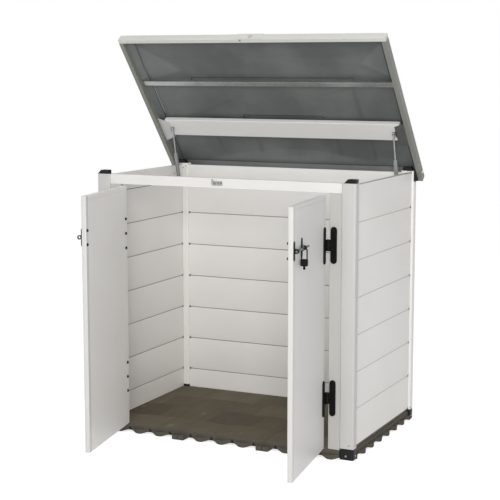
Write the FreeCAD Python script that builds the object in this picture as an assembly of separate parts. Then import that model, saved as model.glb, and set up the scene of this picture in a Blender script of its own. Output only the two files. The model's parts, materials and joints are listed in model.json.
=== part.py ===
import FreeCAD, Part
import math
import os
from FreeCAD import Vector

# Garden storage box with two front doors and a lifting lid.
# Millimetres. X runs to the right, Y to the back and Z up, with the doors at the front.
# The origin is the middle of the footprint, on the ground.

# Flats of the round forms that no joint turns on, and how far a cut reaches past a face
round_sides = 16
bore_sides = 10
plug_sides = 8
corner_steps = 3
cut_overshoot = 1.0

# Frame of the box
frame_width = 1220.0
frame_depth = 768.0
post_width = 63.0
post_depth = 38.0
post_corner_radius = 6.0
post_reveal = 7.5
foot_height = 48.0
foot_chamfer = 2.0
cap_height = 17.0
cap_width = 54.0
cap_depth = 30.0
cap_slope = 17.0

# Boarded walls, which slide into slots in the posts
wall_thickness = 20.0
wall_recess = 12.0
board_height = 156.5
board_count = 7
groove_depth = 2.5
slot_depth = 8.0
slide_gap = 0.3
bottom_rail_height = 14.0
bottom_rail_inset = 4.0
bottom_rail_depth = 6.0

# Interlocking floor tiles
tile_columns = 3
tile_rows = 2
tile_thickness = 38.0
tile_plate_thickness = 18.0
tile_side_overhang = 2.0
tile_front_overhang = 17.0
tile_plate_side_inset = 12.0
tile_plate_front_inset = 17.0
tabs_per_side = 4
tab_width = 64.0
outer_tab_reach = 130.0
square_tab_extra = 12.0
seam_tab_reach = 48.0
seam_tab_height = 18.0
tile_gap = 0.4

# Front frame round the doors
jamb_width = 53.0
front_frame_thickness = 22.0
front_frame_recess = 4.0
lintel_height = 43.0

# Doors
door_thickness = 21.0
door_gap = 3.0
door_floor_gap = 3.0
door_head_gap = 5.0
stile_width = 25.0
stile_round = 3.0
door_cap_height = 17.0
panel_tongue = 6.0
tongue_thickness = 11.0
right_door_open = 98.0
left_door_open = 79.0
plug_diameter = 9.0
plug_height = 2.0

# Door hinges
hinge_pin_offset = 11.0
hinge_pin_diameter = 6.0
hinge_bore_gap = 0.05
knuckle_diameter = 19.0
knuckle_block_height = 47.0
knuckle_gap = 0.3
knuckle_web_reach = 17.0
knuckle_web_thickness = 6.0
leaf_width = 27.0
leaf_height = 153.0
leaf_thickness = 5.0
leaf_edge = 8.0
upper_hinge_drop = 208.0
lower_hinge_rise = 217.0
leaf_screw_pitch = 64.0
pin_head_diameter = 9.0
pin_head_height = 2.0

# Slide bolt on the right door and its staple on the left door
latch_drop = 169.0
guide_plate_width = 18.0
guide_plate_height = 76.0
guide_plate_thickness = 2.5
guide_boss_diameter = 17.0
outer_guide_inset = 10.0
inner_guide_inset = 118.0
bolt_diameter = 9.0
bolt_bore_gap = 0.05
bolt_standoff = 12.0
bolt_tip_inset = 3.0
bolt_travel = 45.0
bolt_tail_margin = 4.0
eye_inset = 98.0
eye_diameter = 20.0
eye_bore = 10.0
eye_thickness = 4.0
staple_diameter = 18.0
staple_bore = 10.0
staple_thickness = 8.0
staple_neck = 9.0
staple_inset = 9.0

# Padlock that hangs in the bolt's eye
shackle_wire = 5.0
shackle_inner_stand = 5.5
shackle_pitch = 22.0
shackle_rest_gap = 0.5
shackle_bend = 5.0
shackle_drop = 41.0
shackle_sink = 8.0
padlock_width = 27.0
padlock_height = 27.0
padlock_thickness = 14.0
padlock_round = 3.0
key_width = 9.0
key_height = 14.0
key_thickness = 2.0
key_round = 3.0

# Lid. Its own places are given as the way forward from its rear line and the way up from its base line
lid_side_overhang = 30.0
lid_rear_overhang = 19.0
lid_front_overhang = 33.0
lid_drop = 15.0
lid_rail_width = 20.0
lid_rail_height = 32.0
lid_rail_tail = 6.0
rear_flange_thickness = 9.0
rear_flange_height = 20.0
skin_thickness = 2.5
skin_bevel_run = 22.0
skin_bevel_rise = 20.0
skin_crown_run = 108.0
skin_crown_rise = 8.0
skin_rear_border = 15.0
liner_gap = 0.3
liner_thickness = 2.0
liner_slot_depth = 1.0
liner_slot_width = 36.0
liner_slot_round = 6.0
liner_slot_x = 21.0
liner_slot_length = 798.0
liner_slot_place = 538.0
liner_lower_slot_length = 398.0
liner_lower_slot_place = 313.0
cross_bar_place = 537.0
cross_bar_width = 25.0
cross_bar_height = 12.0
cross_bar_base = 17.0
beam_place = 222.0
beam_width = 98.0
beam_base = 20.0
beam_height = 22.0
beam_end_gap = 30.0
lid_open = 50.0

# Lid pivots at the rear posts
pivot_place = 42.0
pivot_rise = 12.0
lid_bolt_diameter = 10.0
lid_bolt_bore_gap = 0.05
lid_bolt_root_gap = 1.0
lid_bolt_head_diameter = 16.0
lid_bolt_head_height = 5.0
lid_bolt_head_sides = 6
washer_gap = 1.0
hinge_block_depth = 40.0
hinge_block_gap = 0.5
hinge_block_below = 44.0
hinge_block_above = 12.0
hinge_block_slope_run = 11.0
hinge_block_slope_drop = 14.0

# Gas struts
strut_inset = 54.0
strut_foot_from_back = 114.0
strut_foot_drop = 70.0
strut_head_place = 272.0
strut_tube_diameter = 18.0
strut_tube_length = 130.0
strut_tube_start = 13.0
strut_end_wall = 3.0
strut_rod_diameter = 8.0
strut_bore_gap = 0.1
strut_bottom_gap = 1.3
strut_eye_diameter = 15.0
strut_eye_width = 10.9
strut_head_diameter = 14.0
strut_pin_diameter = 8.0
strut_pin_gap = 0.05
strut_pin_collar = 12.0
strut_side_gap = 0.6
wall_bracket_width = 36.0
wall_bracket_height = 60.0
wall_bracket_thickness = 4.0
wall_bracket_round = 6.0
lid_bracket_thickness = 3.0
lid_bracket_lip = 1.0
lid_bracket_wide = 140.0
lid_bracket_narrow = 90.0
lid_bracket_rear = 190.0
lid_ear_width = 28.0
lid_ear_base = 3.0
lid_ear_inset = 41.0
head_stud_gap = 0.5

# Lid lock, and the keeper that it meets on the lintel
lock_plate_width = 130.0
lock_plate_height = 34.0
lock_plate_thickness = 3.0
lock_plate_round = 4.0
lock_plate_x = 15.0
barrel_x = 19.5
barrel_rise = 16.0
barrel_diameter = 16.0
barrel_bore_gap = 0.05
barrel_depth = 9.0
barrel_collar_diameter = 20.0
barrel_collar_height = 4.0
key_slot_width = 2.0
key_slot_length = 9.0
key_slot_depth = 3.0
keeper_x = -30.0
keeper_plate_lead = 11.5
keeper_plate_width = 46.0
keeper_plate_height = 18.0
keeper_plate_thickness = 3.0
keeper_pin_diameter = 8.0
keeper_pin_bore = 12.0
keeper_pin_rise = 12.0
keeper_arm_height = 6.0
keeper_arm_gap = 4.0

# Places worked out from the sizes above
half_width = frame_width / 2
half_depth = frame_depth / 2
post_inner_x = half_width - post_width
post_inner_y = half_depth - post_depth
wall_bottom = tile_thickness + bottom_rail_height
wall_top = wall_bottom + board_count * board_height
post_top = wall_top + post_reveal
front_face = front_frame_recess - half_depth
lintel_bottom = post_top - lintel_height
jamb_inner_x = post_inner_x - jamb_width
side_wall_outer = half_width - wall_recess
side_wall_inner = side_wall_outer - wall_thickness
back_wall_outer = half_depth - wall_recess

door_bottom = tile_thickness + door_floor_gap
door_top = lintel_bottom - door_head_gap
door_hinge_x = jamb_inner_x - door_gap
door_free_x = door_gap / 2
pin_x = jamb_inner_x - door_gap / 2
pin_y = front_face - hinge_pin_offset
hinge_heights = [door_top - upper_hinge_drop, door_bottom + lower_hinge_rise]
latch_height = door_top - latch_drop
bolt_y = front_face - bolt_standoff

lid_half_width = half_width + lid_side_overhang
lid_rear = half_depth + lid_rear_overhang
lid_length = frame_depth + lid_rear_overhang + lid_front_overhang
lid_base = post_top - lid_drop
lid_inner_x = lid_half_width - lid_rail_width
front_rail_place = lid_length - lid_rail_width
pivot_y = lid_rear - pivot_place
pivot_z = lid_base + pivot_rise

strut_x = half_width - strut_inset
strut_foot = Vector(strut_x, half_depth - strut_foot_from_back, post_top - strut_foot_drop)
strut_head_closed = Vector(strut_x, lid_rear - strut_head_place, pivot_z)
strut_eye_outer = strut_x + strut_eye_width / 2
strut_bore_start = strut_tube_start + strut_end_wall
strut_rod_length = (strut_head_closed - strut_foot).Length - strut_bore_start - strut_bottom_gap

rightward = Vector(1, 0, 0)
backward = Vector(0, 1, 0)
upward = Vector(0, 0, 1)


def box(x0, x1, y0, y1, z0, z1):
    return Part.makeBox(x1 - x0, y1 - y0, z1 - z0, Vector(x0, y0, z0))


def lid_box(x0, x1, place0, place1, rise0, rise1):
    return box(x0, x1, lid_rear - place1, lid_rear - place0, lid_base + rise0, lid_base + rise1)


def closed(points):
    return Part.makePolygon(points + [points[0]])


def extruded(points, direction):
    return Part.Face(closed(points)).extrude(direction)


def rod(start, direction, diameter, length):
    """A true cylinder, for what a joint turns on."""
    return Part.makeCylinder(diameter / 2, length, start, direction)


def arc_points(centre, across, up, radius, start, end, steps):
    """Points on an arc between two angles, in the plane of two unit vectors."""
    points = []
    for step in range(steps + 1):
        angle = math.radians(start + (end - start) * step / steps)
        points.append(centre + across * (radius * math.cos(angle)) + up * (radius * math.sin(angle)))
    return points


def faceted_rod(start, direction, diameter, length, sides=round_sides):
    """A round bar with flats, whose corners lie on the circle."""
    across = backward if abs(direction.x) > 0.5 else rightward
    points = arc_points(start, across, direction.cross(across), diameter / 2, 0, 360, sides)
    return extruded(points[:-1], direction * length)


def faceted_bore(start, direction, diameter, length, sides=bore_sides):
    """A hole with flats that touch the circle."""
    return faceted_rod(start, direction, diameter / math.cos(math.pi / sides), length, sides)


def rounded_outline(centre, across, up, width, height, radius):
    """Points of a rectangle about a centre, with its corners rounded."""
    points = []
    for side, end, start in ((1, 1, 0), (-1, 1, 90), (-1, -1, 180), (1, -1, 270)):
        corner = centre + across * side * (width / 2 - radius) + up * end * (height / 2 - radius)
        points += arc_points(corner, across, up, radius, start, start + 90, corner_steps)
    return points


def mirrored(shape):
    return shape.mirror(Vector(0, 0, 0), rightward)


def both_sides(shape):
    return [shape, mirrored(shape)]


def in_corner(shape, side, end):
    """The rear right corner's shape, mirrored into the corner on a side and at an end."""
    if side < 0:
        shape = mirrored(shape)
    if end < 0:
        shape = shape.mirror(Vector(0, 0, 0), backward)
    return shape


def save(name, solids):
    shape = solids[0] if len(solids) == 1 else Part.makeCompound(solids)
    shape.exportStep("parts/" + name + ".step")


def rest_lid(shape):
    turned = shape.copy()
    turned.rotate(Vector(0, pivot_y, pivot_z), -rightward, lid_open)
    return turned


def rest_right_door(shape):
    turned = shape.copy()
    turned.rotate(Vector(pin_x, pin_y, 0), upward, right_door_open)
    return turned


def rest_left_door(shape):
    turned = shape.copy()
    turned.rotate(Vector(-pin_x, pin_y, 0), -upward, left_door_open)
    return turned


# Floor tiles: a plate on a lower layer with tabs, which show round the floor and lock under the next tile

tile_width = (frame_width + 2 * tile_side_overhang) / tile_columns
tile_depth = (frame_depth + 2 * tile_front_overhang) / tile_rows
floor_half_width = tile_columns * tile_width / 2
floor_half_depth = tile_rows * tile_depth / 2
tab_pitch_x = tile_width / tabs_per_side
tab_pitch_y = tile_depth / tabs_per_side
tab_height = tile_thickness - tile_plate_thickness


def round_tab(root, out, reach, height, grow):
    """A tab with a round end, from the middle of its root and pointing out."""
    along = Vector(out.y, -out.x, 0)
    half = tab_width / 2 + grow
    tip_centre = root + out * (reach - tab_width / 2)
    points = arc_points(tip_centre, along, out, half, 0, 180, round_sides // 2)
    points += [root - along * half - out * grow, root + along * half - out * grow]
    return extruded(points, upward * (height + grow))


def square_tab(root, out, side):
    """Half of the square connector at a seam, on the side of the seam that the tile lies on."""
    near = root + rightward * side * tile_gap / 2
    width = rightward * side * (tab_width - tile_gap) / 2
    reach = out * (outer_tab_reach + square_tab_extra)
    return extruded([near, near + width, near + width + reach, near + reach], upward * tab_height)


def tile_layer(column, row, side_inset, front_inset, low, high):
    """A layer of the tile, drawn in at the floor's edges and by half a gap at the seams."""
    x0 = column * tile_width - floor_half_width
    y0 = row * tile_depth - floor_half_depth
    left = side_inset if column == 0 else tile_gap / 2
    right = side_inset if column == tile_columns - 1 else tile_gap / 2
    front = front_inset if row == 0 else tile_gap / 2
    back = front_inset if row == tile_rows - 1 else tile_gap / 2
    return box(x0 + left, x0 + tile_width - right, y0 + front, y0 + tile_depth - back, low, high)


def outer_tabs(column, row, core):
    tabs = []
    for place, out, edge in ((0, -1, core.XMin), (tile_columns - 1, 1, core.XMax)):
        if column == place:
            for step in range(tabs_per_side):
                y = row * tile_depth - floor_half_depth + (step + 0.5) * tab_pitch_y
                tabs.append(round_tab(Vector(edge, y, 0), rightward * out, outer_tab_reach, tab_height, 0))
    x0 = column * tile_width - floor_half_width
    for place, out, edge in ((0, -1, core.YMin), (tile_rows - 1, 1, core.YMax)):
        if row == place:
            for step in range(1, tabs_per_side):
                x = x0 + step * tab_pitch_x
                tabs.append(round_tab(Vector(x, edge, 0), backward * out, outer_tab_reach, tab_height, 0))
            if column > 0:
                tabs.append(square_tab(Vector(x0, edge, 0), backward * out, 1))
            if column < tile_columns - 1:
                tabs.append(square_tab(Vector(x0 + tile_width, edge, 0), backward * out, -1))
    return tabs


def floor_tile(column, row):
    core = tile_layer(column, row, outer_tab_reach, outer_tab_reach, 0, tab_height)
    plate = tile_layer(
        column, row, tile_plate_side_inset, tile_plate_front_inset, tab_height, tile_thickness,
    )
    bounds = core.BoundBox
    seam_x = (column + 0.5) * tile_width - floor_half_width
    seam_y = (row + 0.5) * tile_depth - floor_half_depth
    tabs = outer_tabs(column, row, bounds)
    tile = core.fuse(plate)
    if row < tile_rows - 1:
        root = Vector(seam_x, bounds.YMax, 0)
        tabs.append(round_tab(root, backward, seam_tab_reach, seam_tab_height, 0))
    if column < tile_columns - 1:
        root = Vector(bounds.XMax, seam_y, 0)
        tabs.append(round_tab(root, rightward, seam_tab_reach, seam_tab_height, 0))
    if row > 0:
        root = Vector(seam_x, bounds.YMin - tile_gap / 2, 0)
        tile = tile.cut(round_tab(root, backward, seam_tab_reach, seam_tab_height, tile_gap))
    if column > 0:
        root = Vector(bounds.XMin - tile_gap / 2, seam_y, 0)
        tile = tile.cut(round_tab(root, rightward, seam_tab_reach, seam_tab_height, tile_gap))
    tile = tile.fuse(tabs).removeSplitter()
    foot_space = box(
        post_inner_x - tile_gap, floor_half_width, post_inner_y - tile_gap, floor_half_depth,
        -cut_overshoot, tile_thickness + cut_overshoot,
    )
    if column in (0, tile_columns - 1) and row in (0, tile_rows - 1):
        tile = tile.cut(in_corner(foot_space, 1 if column else -1, 1 if row else -1))
    return tile


def make_floor():
    columns = ["left", "middle", "right"]
    rows = ["front", "rear"]
    for row in range(tile_rows):
        for column in range(tile_columns):
            save("floor_tile_" + rows[row] + "_" + columns[column], [floor_tile(column, row)])


# Posts with their feet and caps

def post_outline(height, inset):
    """Outline of the rear right post at a height, drawn in by an inset."""
    centre = Vector(half_width - post_width / 2, half_depth - post_depth / 2, height)
    width = post_width - 2 * inset
    depth = post_depth - 2 * inset
    return rounded_outline(centre, rightward, backward, width, depth, post_corner_radius - inset)


def post(side, end):
    body = extruded(post_outline(foot_height, 0), upward * (post_top - foot_height))
    slot_low = foot_height - cut_overshoot
    slot_high = post_top + cut_overshoot
    body = body.cut(box(
        side_wall_inner - slide_gap, side_wall_outer + slide_gap,
        post_inner_y - cut_overshoot, post_inner_y + slot_depth, slot_low, slot_high,
    ))
    if end > 0:
        body = body.cut(box(
            post_inner_x - cut_overshoot, post_inner_x + slot_depth,
            back_wall_outer - wall_thickness - slide_gap, back_wall_outer + slide_gap,
            slot_low, slot_high,
        ))
    return in_corner(body, side, end)


def foot(side, end):
    outlines = [
        closed(post_outline(0, foot_chamfer)),
        closed(post_outline(foot_chamfer, 0)),
        closed(post_outline(foot_height, 0)),
    ]
    return in_corner(Part.makeLoft(outlines, True, True), side, end)


def post_cap(side, end):
    """A wedge: the front pair slope on their left side, the rear pair on their right side."""
    slope_at_left = end < 0
    x1 = half_width
    x0 = x1 - cap_width
    if side < 0:
        x0, x1 = -x1, -x0
    top_x0 = x0 + (cap_slope if slope_at_left else 0)
    top_x1 = x1 - (0 if slope_at_left else cap_slope)
    y0 = post_inner_y if end > 0 else -half_depth
    points = [
        Vector(x0, y0, post_top),
        Vector(x1, y0, post_top),
        Vector(top_x1, y0, post_top + cap_height),
        Vector(top_x0, y0, post_top + cap_height),
    ]
    return extruded(points, Vector(0, cap_depth, 0))


def make_posts():
    corners = {
        "front_left": (-1, -1),
        "front_right": (1, -1),
        "rear_left": (-1, 1),
        "rear_right": (1, 1),
    }
    for name, corner in corners.items():
        save("post_" + name, [post(*corner)])
    save("post_feet", [foot(*corner) for corner in corners.values()])
    save("post_caps", [post_cap(*corner) for corner in corners.values()])


# Walls of boards with V grooves, rebated along the foot for the dark rails

def groove(height, face, into):
    return [(face, height - groove_depth), (face + into, height), (face, height + groove_depth)]


def wall_section():
    """Points of the wall's section: the way in from its outer face, and the height."""
    outer = [(0, wall_bottom)]
    for board in range(1, board_count):
        outer += groove(wall_bottom + board * board_height, 0, groove_depth)
    outer.append((0, wall_top))
    inner = [(wall_thickness, wall_bottom)]
    for board in range(board_count):
        inner += groove(wall_bottom + (board + 0.5) * board_height, wall_thickness, -groove_depth)
    inner.append((wall_thickness, wall_top))
    return outer + inner[::-1]


def wall_strip(outer_face, inward, along, section, half_length):
    """A section, given as ways in from the outer face and heights, extruded along the wall."""
    points = []
    for depth, height in section:
        points.append(outer_face + inward * depth + upward * height - along * half_length)
    return extruded(points, along * 2 * half_length)


def wall_and_rail(outer_face, inward, along, clear_half):
    """A wall with its ends in the posts' slots, whose foot stands on the floor behind the rail."""
    rail_back = bottom_rail_inset + bottom_rail_depth
    rail_section = [
        (bottom_rail_inset, tile_thickness), (rail_back, tile_thickness),
        (rail_back, wall_bottom), (bottom_rail_inset, wall_bottom),
    ]
    foot_section = [
        (rail_back, tile_thickness), (wall_thickness, tile_thickness),
        (wall_thickness, wall_bottom), (rail_back, wall_bottom),
    ]
    wall = wall_strip(outer_face, inward, along, wall_section(), clear_half + slot_depth - slide_gap)
    wall_foot = wall_strip(outer_face, inward, along, foot_section, clear_half - slide_gap)
    rail = wall_strip(outer_face, inward, along, rail_section, clear_half)
    return wall.fuse(wall_foot).removeSplitter(), rail


def make_walls():
    wall, rail = wall_and_rail(rightward * side_wall_outer, -rightward, backward, post_inner_y)
    save("side_wall_right", [wall])
    save("side_wall_left", [mirrored(wall)])
    save("bottom_rail_right", [rail])
    save("bottom_rail_left", [mirrored(rail)])
    wall, rail = wall_and_rail(backward * back_wall_outer, -backward, rightward, post_inner_x)
    save("back_wall", [wall])
    save("bottom_rail_back", [rail])


# Front frame: two jambs on the floor and a lintel across them

def make_front_frame():
    back_face = front_face + front_frame_thickness
    jamb = box(jamb_inner_x, post_inner_x, front_face, back_face, tile_thickness, lintel_bottom)
    save("jamb_right", [jamb])
    save("jamb_left", [mirrored(jamb)])
    lintel = box(-post_inner_x, post_inner_x, front_face, back_face, lintel_bottom, post_top)
    save("lintel", [lintel])

    pin_place_y = lid_rear - front_rail_place - lid_rail_width / 2
    arm_top = lid_base - keeper_arm_gap
    arm_bottom = arm_top - keeper_arm_height
    plate_bottom = (arm_top + arm_bottom - keeper_plate_height) / 2
    plate = box(
        keeper_x - keeper_plate_lead, keeper_x - keeper_plate_lead + keeper_plate_width,
        front_face - keeper_plate_thickness, front_face,
        plate_bottom, plate_bottom + keeper_plate_height,
    )
    half = keeper_pin_diameter / 2
    arm = box(keeper_x - half, keeper_x + half, pin_place_y, front_face, arm_bottom, arm_top)
    pin_height = lid_base + keeper_pin_rise - arm_bottom
    pin = faceted_rod(Vector(keeper_x, pin_place_y, arm_bottom), upward, keeper_pin_diameter, pin_height)
    save("lintel_keeper", [plate.fuse([arm, pin]).removeSplitter()])


# Door hinges: leaves with round ends, three knuckles on a pin

def capsule(centre_x, centre_z, width, height, face_y, thickness):
    """A plate with round ends that stands on the plane y = face_y and reaches forward."""
    points = []
    for end, start in ((1, 0), (-1, 180)):
        centre = Vector(centre_x, face_y, centre_z + end * (height - width) / 2)
        points += arc_points(centre, rightward, upward, width / 2, start, start + 180, round_sides // 2)
    return extruded(points, -backward * thickness)


def hinge_leaf(height, side, spans, bore_shape):
    """One leaf with its knuckles, on the right door's hinge; side -1 is the door's leaf."""
    leaf = capsule(
        pin_x + side * (leaf_edge + leaf_width / 2), height, leaf_width, leaf_height,
        front_face, leaf_thickness,
    )
    knuckles = []
    web_x = pin_x + side * knuckle_web_reach
    for low, high in spans:
        barrel = faceted_rod(Vector(pin_x, pin_y, low), upward, knuckle_diameter, high - low)
        web = box(
            min(pin_x, web_x), max(pin_x, web_x), front_face - knuckle_web_thickness, front_face, low, high,
        )
        knuckles += [barrel, web]
    bore_start = Vector(pin_x, pin_y, height - knuckle_block_height)
    bore = bore_shape(bore_start, upward, hinge_pin_diameter + 2 * hinge_bore_gap, 2 * knuckle_block_height)
    return leaf.fuse(knuckles).cut(bore).removeSplitter()


def hinge_spans(height):
    third = knuckle_block_height / 3
    low = height - knuckle_block_height / 2
    frame_spans = [(low, low + third), (low + 2 * third, low + 3 * third)]
    door_spans = [(low + third + knuckle_gap, low + 2 * third - knuckle_gap)]
    return frame_spans, door_spans


def hinge_pin(height):
    half = knuckle_block_height / 2
    shaft = rod(Vector(pin_x, pin_y, height - half), upward, hinge_pin_diameter, 2 * half)
    head = faceted_rod(Vector(pin_x, pin_y, height + half), upward, pin_head_diameter, pin_head_height)
    return shaft.fuse(head).removeSplitter()


def make_frame_hinges():
    leaves = []
    pins = []
    for height in hinge_heights:
        frame_spans, _ = hinge_spans(height)
        leaves += both_sides(hinge_leaf(height, 1, frame_spans, faceted_bore))
        pins += both_sides(hinge_pin(height))
    save("hinge_frame_leaves", leaves)
    save("hinge_pins", pins)


def door_leaves():
    leaves = []
    for height in hinge_heights:
        _, door_spans = hinge_spans(height)
        leaves.append(hinge_leaf(height, -1, door_spans, rod))
    return leaves


# Doors: a panel whose tongues sit in the stile and in the top cap

def door_panel():
    back = front_face + door_thickness
    panel = box(
        door_free_x + stile_width, door_hinge_x, front_face, back,
        door_bottom, door_top - door_cap_height,
    )
    tongue_y0 = front_face + (door_thickness - tongue_thickness) / 2
    tongue_y1 = tongue_y0 + tongue_thickness
    side_tongue = box(
        door_free_x + stile_width - panel_tongue, door_free_x + stile_width,
        tongue_y0, tongue_y1, door_bottom, door_top - door_cap_height,
    )
    top_tongue = box(
        door_free_x + stile_width, door_hinge_x, tongue_y0, tongue_y1,
        door_top - door_cap_height, door_top - door_cap_height + panel_tongue,
    )
    return panel.fuse([side_tongue, top_tongue]).removeSplitter()


def door_stile():
    back = front_face + door_thickness
    inner_x = door_free_x + stile_width
    points = [Vector(inner_x, front_face, door_bottom), Vector(inner_x, back, door_bottom)]
    for corner_y, start in ((back - stile_round, 90), (front_face + stile_round, 180)):
        corner = Vector(door_free_x + stile_round, corner_y, door_bottom)
        points += arc_points(corner, rightward, backward, stile_round, start, start + 90, corner_steps)
    stile = extruded(points, upward * (door_top - door_bottom))
    groove_y0 = front_face + (door_thickness - tongue_thickness) / 2 - slide_gap
    groove_y1 = groove_y0 + tongue_thickness + 2 * slide_gap
    tongue_groove = box(
        inner_x - panel_tongue - slide_gap, inner_x + cut_overshoot, groove_y0, groove_y1,
        door_bottom - cut_overshoot, door_top - door_cap_height,
    )
    return stile.cut(tongue_groove)


def door_cap():
    back = front_face + door_thickness
    low = door_top - door_cap_height
    cap = box(door_free_x + stile_width, door_hinge_x, front_face, back, low, door_top)
    groove_y0 = front_face + (door_thickness - tongue_thickness) / 2 - slide_gap
    groove_y1 = groove_y0 + tongue_thickness + 2 * slide_gap
    tongue_groove = box(
        door_free_x + stile_width - cut_overshoot, door_hinge_x + cut_overshoot, groove_y0, groove_y1,
        low - cut_overshoot, low + panel_tongue + slide_gap,
    )
    return cap.cut(tongue_groove)


def plug(x, z):
    back = front_face + door_thickness
    return faceted_rod(Vector(x, back, z), backward, plug_diameter, plug_height, plug_sides)


def hinge_plugs():
    x = pin_x - leaf_edge - leaf_width / 2
    plugs = []
    for height in hinge_heights:
        for step in (-1, 0, 1):
            plugs.append(plug(x, height + step * leaf_screw_pitch))
    return plugs


def latch_plugs(inset):
    half = (guide_plate_height - guide_plate_width) / 2
    return [plug(door_free_x + inset, latch_height + sign * half) for sign in (-1, 1)]


# Slide bolt: two guides, and a bar with a flat eye between them

def latch_guide(inset):
    x = door_free_x + inset
    half = guide_plate_width / 2
    plate = capsule(
        x, latch_height, guide_plate_width, guide_plate_height, front_face, guide_plate_thickness,
    )
    start = Vector(x - half, bolt_y, latch_height)
    boss = faceted_rod(start, rightward, guide_boss_diameter, guide_plate_width)
    web_half = guide_boss_diameter / 2
    web = box(x - half, x + half, bolt_y, front_face, latch_height - web_half, latch_height + web_half)
    bore = faceted_bore(
        start - rightward * cut_overshoot, rightward,
        bolt_diameter + 2 * bolt_bore_gap, guide_plate_width + 2 * cut_overshoot,
    )
    return plate.fuse([boss, web]).cut(bore).removeSplitter()


def latch_bolt():
    x0 = door_free_x + bolt_tip_inset
    tail_inset = inner_guide_inset + guide_plate_width / 2 + bolt_travel + bolt_tail_margin
    x1 = door_free_x + tail_inset
    bar = faceted_rod(Vector(x0, bolt_y, latch_height), rightward, bolt_diameter, x1 - x0)
    eye_centre = Vector(door_free_x + eye_inset, bolt_y, latch_height)
    behind = eye_centre + backward * bolt_diameter
    space = faceted_rod(behind, -backward, eye_diameter, 2 * bolt_diameter)
    eye = faceted_rod(eye_centre + backward * eye_thickness / 2, -backward, eye_diameter, eye_thickness)
    hole = faceted_bore(behind, -backward, eye_bore, 2 * bolt_diameter)
    return bar.cut(space).fuse(eye).cut(hole).removeSplitter()


def latch_staple():
    """The ring on the left door, drawn on the right side and mirrored with its door."""
    x = door_free_x + staple_inset
    half = staple_thickness / 2
    start = Vector(x - half, bolt_y, latch_height)
    ring = faceted_rod(start, rightward, staple_diameter, staple_thickness)
    neck_half = staple_neck / 2
    neck = box(x - half, x + half, bolt_y, front_face, latch_height - neck_half, latch_height + neck_half)
    plate = capsule(
        x, latch_height, guide_plate_width, guide_plate_height, front_face, guide_plate_thickness,
    )
    hole = faceted_bore(
        start - rightward * cut_overshoot, rightward, staple_bore, staple_thickness + 2 * cut_overshoot,
    )
    return plate.fuse([ring, neck]).cut(hole).removeSplitter()


# Padlock: a bent wire through the eye, a body and a key

wire_z = latch_height - (eye_bore - shackle_wire) / 2 + shackle_rest_gap
shackle_inner_y = front_face - shackle_inner_stand
shackle_outer_y = shackle_inner_y - shackle_pitch
padlock_top = latch_height - shackle_drop
padlock_y = (shackle_inner_y + shackle_outer_y) / 2


def padlock_shackle():
    x = door_free_x + eye_inset
    bottom = padlock_top - shackle_sink
    bend_z = wire_z - shackle_bend
    inner_bend = Vector(x, shackle_inner_y - shackle_bend, bend_z)
    outer_bend = Vector(x, shackle_outer_y + shackle_bend, bend_z)
    points = [Vector(x, shackle_inner_y, bottom)]
    points += arc_points(inner_bend, backward, upward, shackle_bend, 0, 90, corner_steps)
    points += arc_points(outer_bend, backward, upward, shackle_bend, 90, 180, corner_steps)
    points.append(Vector(x, shackle_outer_y, bottom))
    section = Part.Wire([Part.Circle(points[0], upward, shackle_wire / 2).toShape()])
    mitred = 1
    return Part.makePolygon(points).makePipeShell([section], True, False, mitred)


def padlock_body():
    x = door_free_x + eye_inset
    centre = Vector(x - padlock_thickness / 2, padlock_y, padlock_top - padlock_height / 2)
    outline = rounded_outline(centre, backward, upward, padlock_width, padlock_height, padlock_round)
    body = extruded(outline, rightward * padlock_thickness)
    for y in (shackle_inner_y, shackle_outer_y):
        start = Vector(x, y, padlock_top - shackle_sink)
        body = body.cut(faceted_bore(start, upward, shackle_wire, shackle_sink + cut_overshoot))
    return body


def padlock_key():
    x = door_free_x + eye_inset - key_thickness / 2
    centre = Vector(x, padlock_y, padlock_top - padlock_height - key_height / 2)
    outline = rounded_outline(centre, backward, upward, key_width, key_height, key_round)
    return extruded(outline, rightward * key_thickness)


def make_right_door():
    save("door_panel_right", [rest_right_door(door_panel())])
    save("door_stile_right", [rest_right_door(door_stile())])
    save("door_top_cap_right", [rest_right_door(door_cap())])
    save("door_hinge_leaves_right", [rest_right_door(leaf) for leaf in door_leaves()])
    plugs = hinge_plugs() + latch_plugs(outer_guide_inset) + latch_plugs(inner_guide_inset)
    save("door_plugs_right", [rest_right_door(item) for item in plugs])
    guides = [latch_guide(outer_guide_inset), latch_guide(inner_guide_inset)]
    save("latch_guides", [rest_right_door(guide) for guide in guides])
    save("latch_bolt", [rest_right_door(latch_bolt())])
    save("padlock_shackle", [rest_right_door(padlock_shackle())])
    save("padlock_body", [rest_right_door(padlock_body())])
    save("padlock_key", [rest_right_door(padlock_key())])


def make_left_door():
    save("door_panel_left", [rest_left_door(mirrored(door_panel()))])
    save("door_stile_left", [rest_left_door(mirrored(door_stile()))])
    save("door_top_cap_left", [rest_left_door(mirrored(door_cap()))])
    save("door_hinge_leaves_left", [rest_left_door(mirrored(leaf)) for leaf in door_leaves()])
    plugs = hinge_plugs() + latch_plugs(staple_inset)
    save("door_plugs_left", [rest_left_door(mirrored(item)) for item in plugs])
    save("latch_staple", [rest_left_door(mirrored(latch_staple()))])


# Lid: a frame of rails, a raised skin, a liner under it, a bar and a beam

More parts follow.
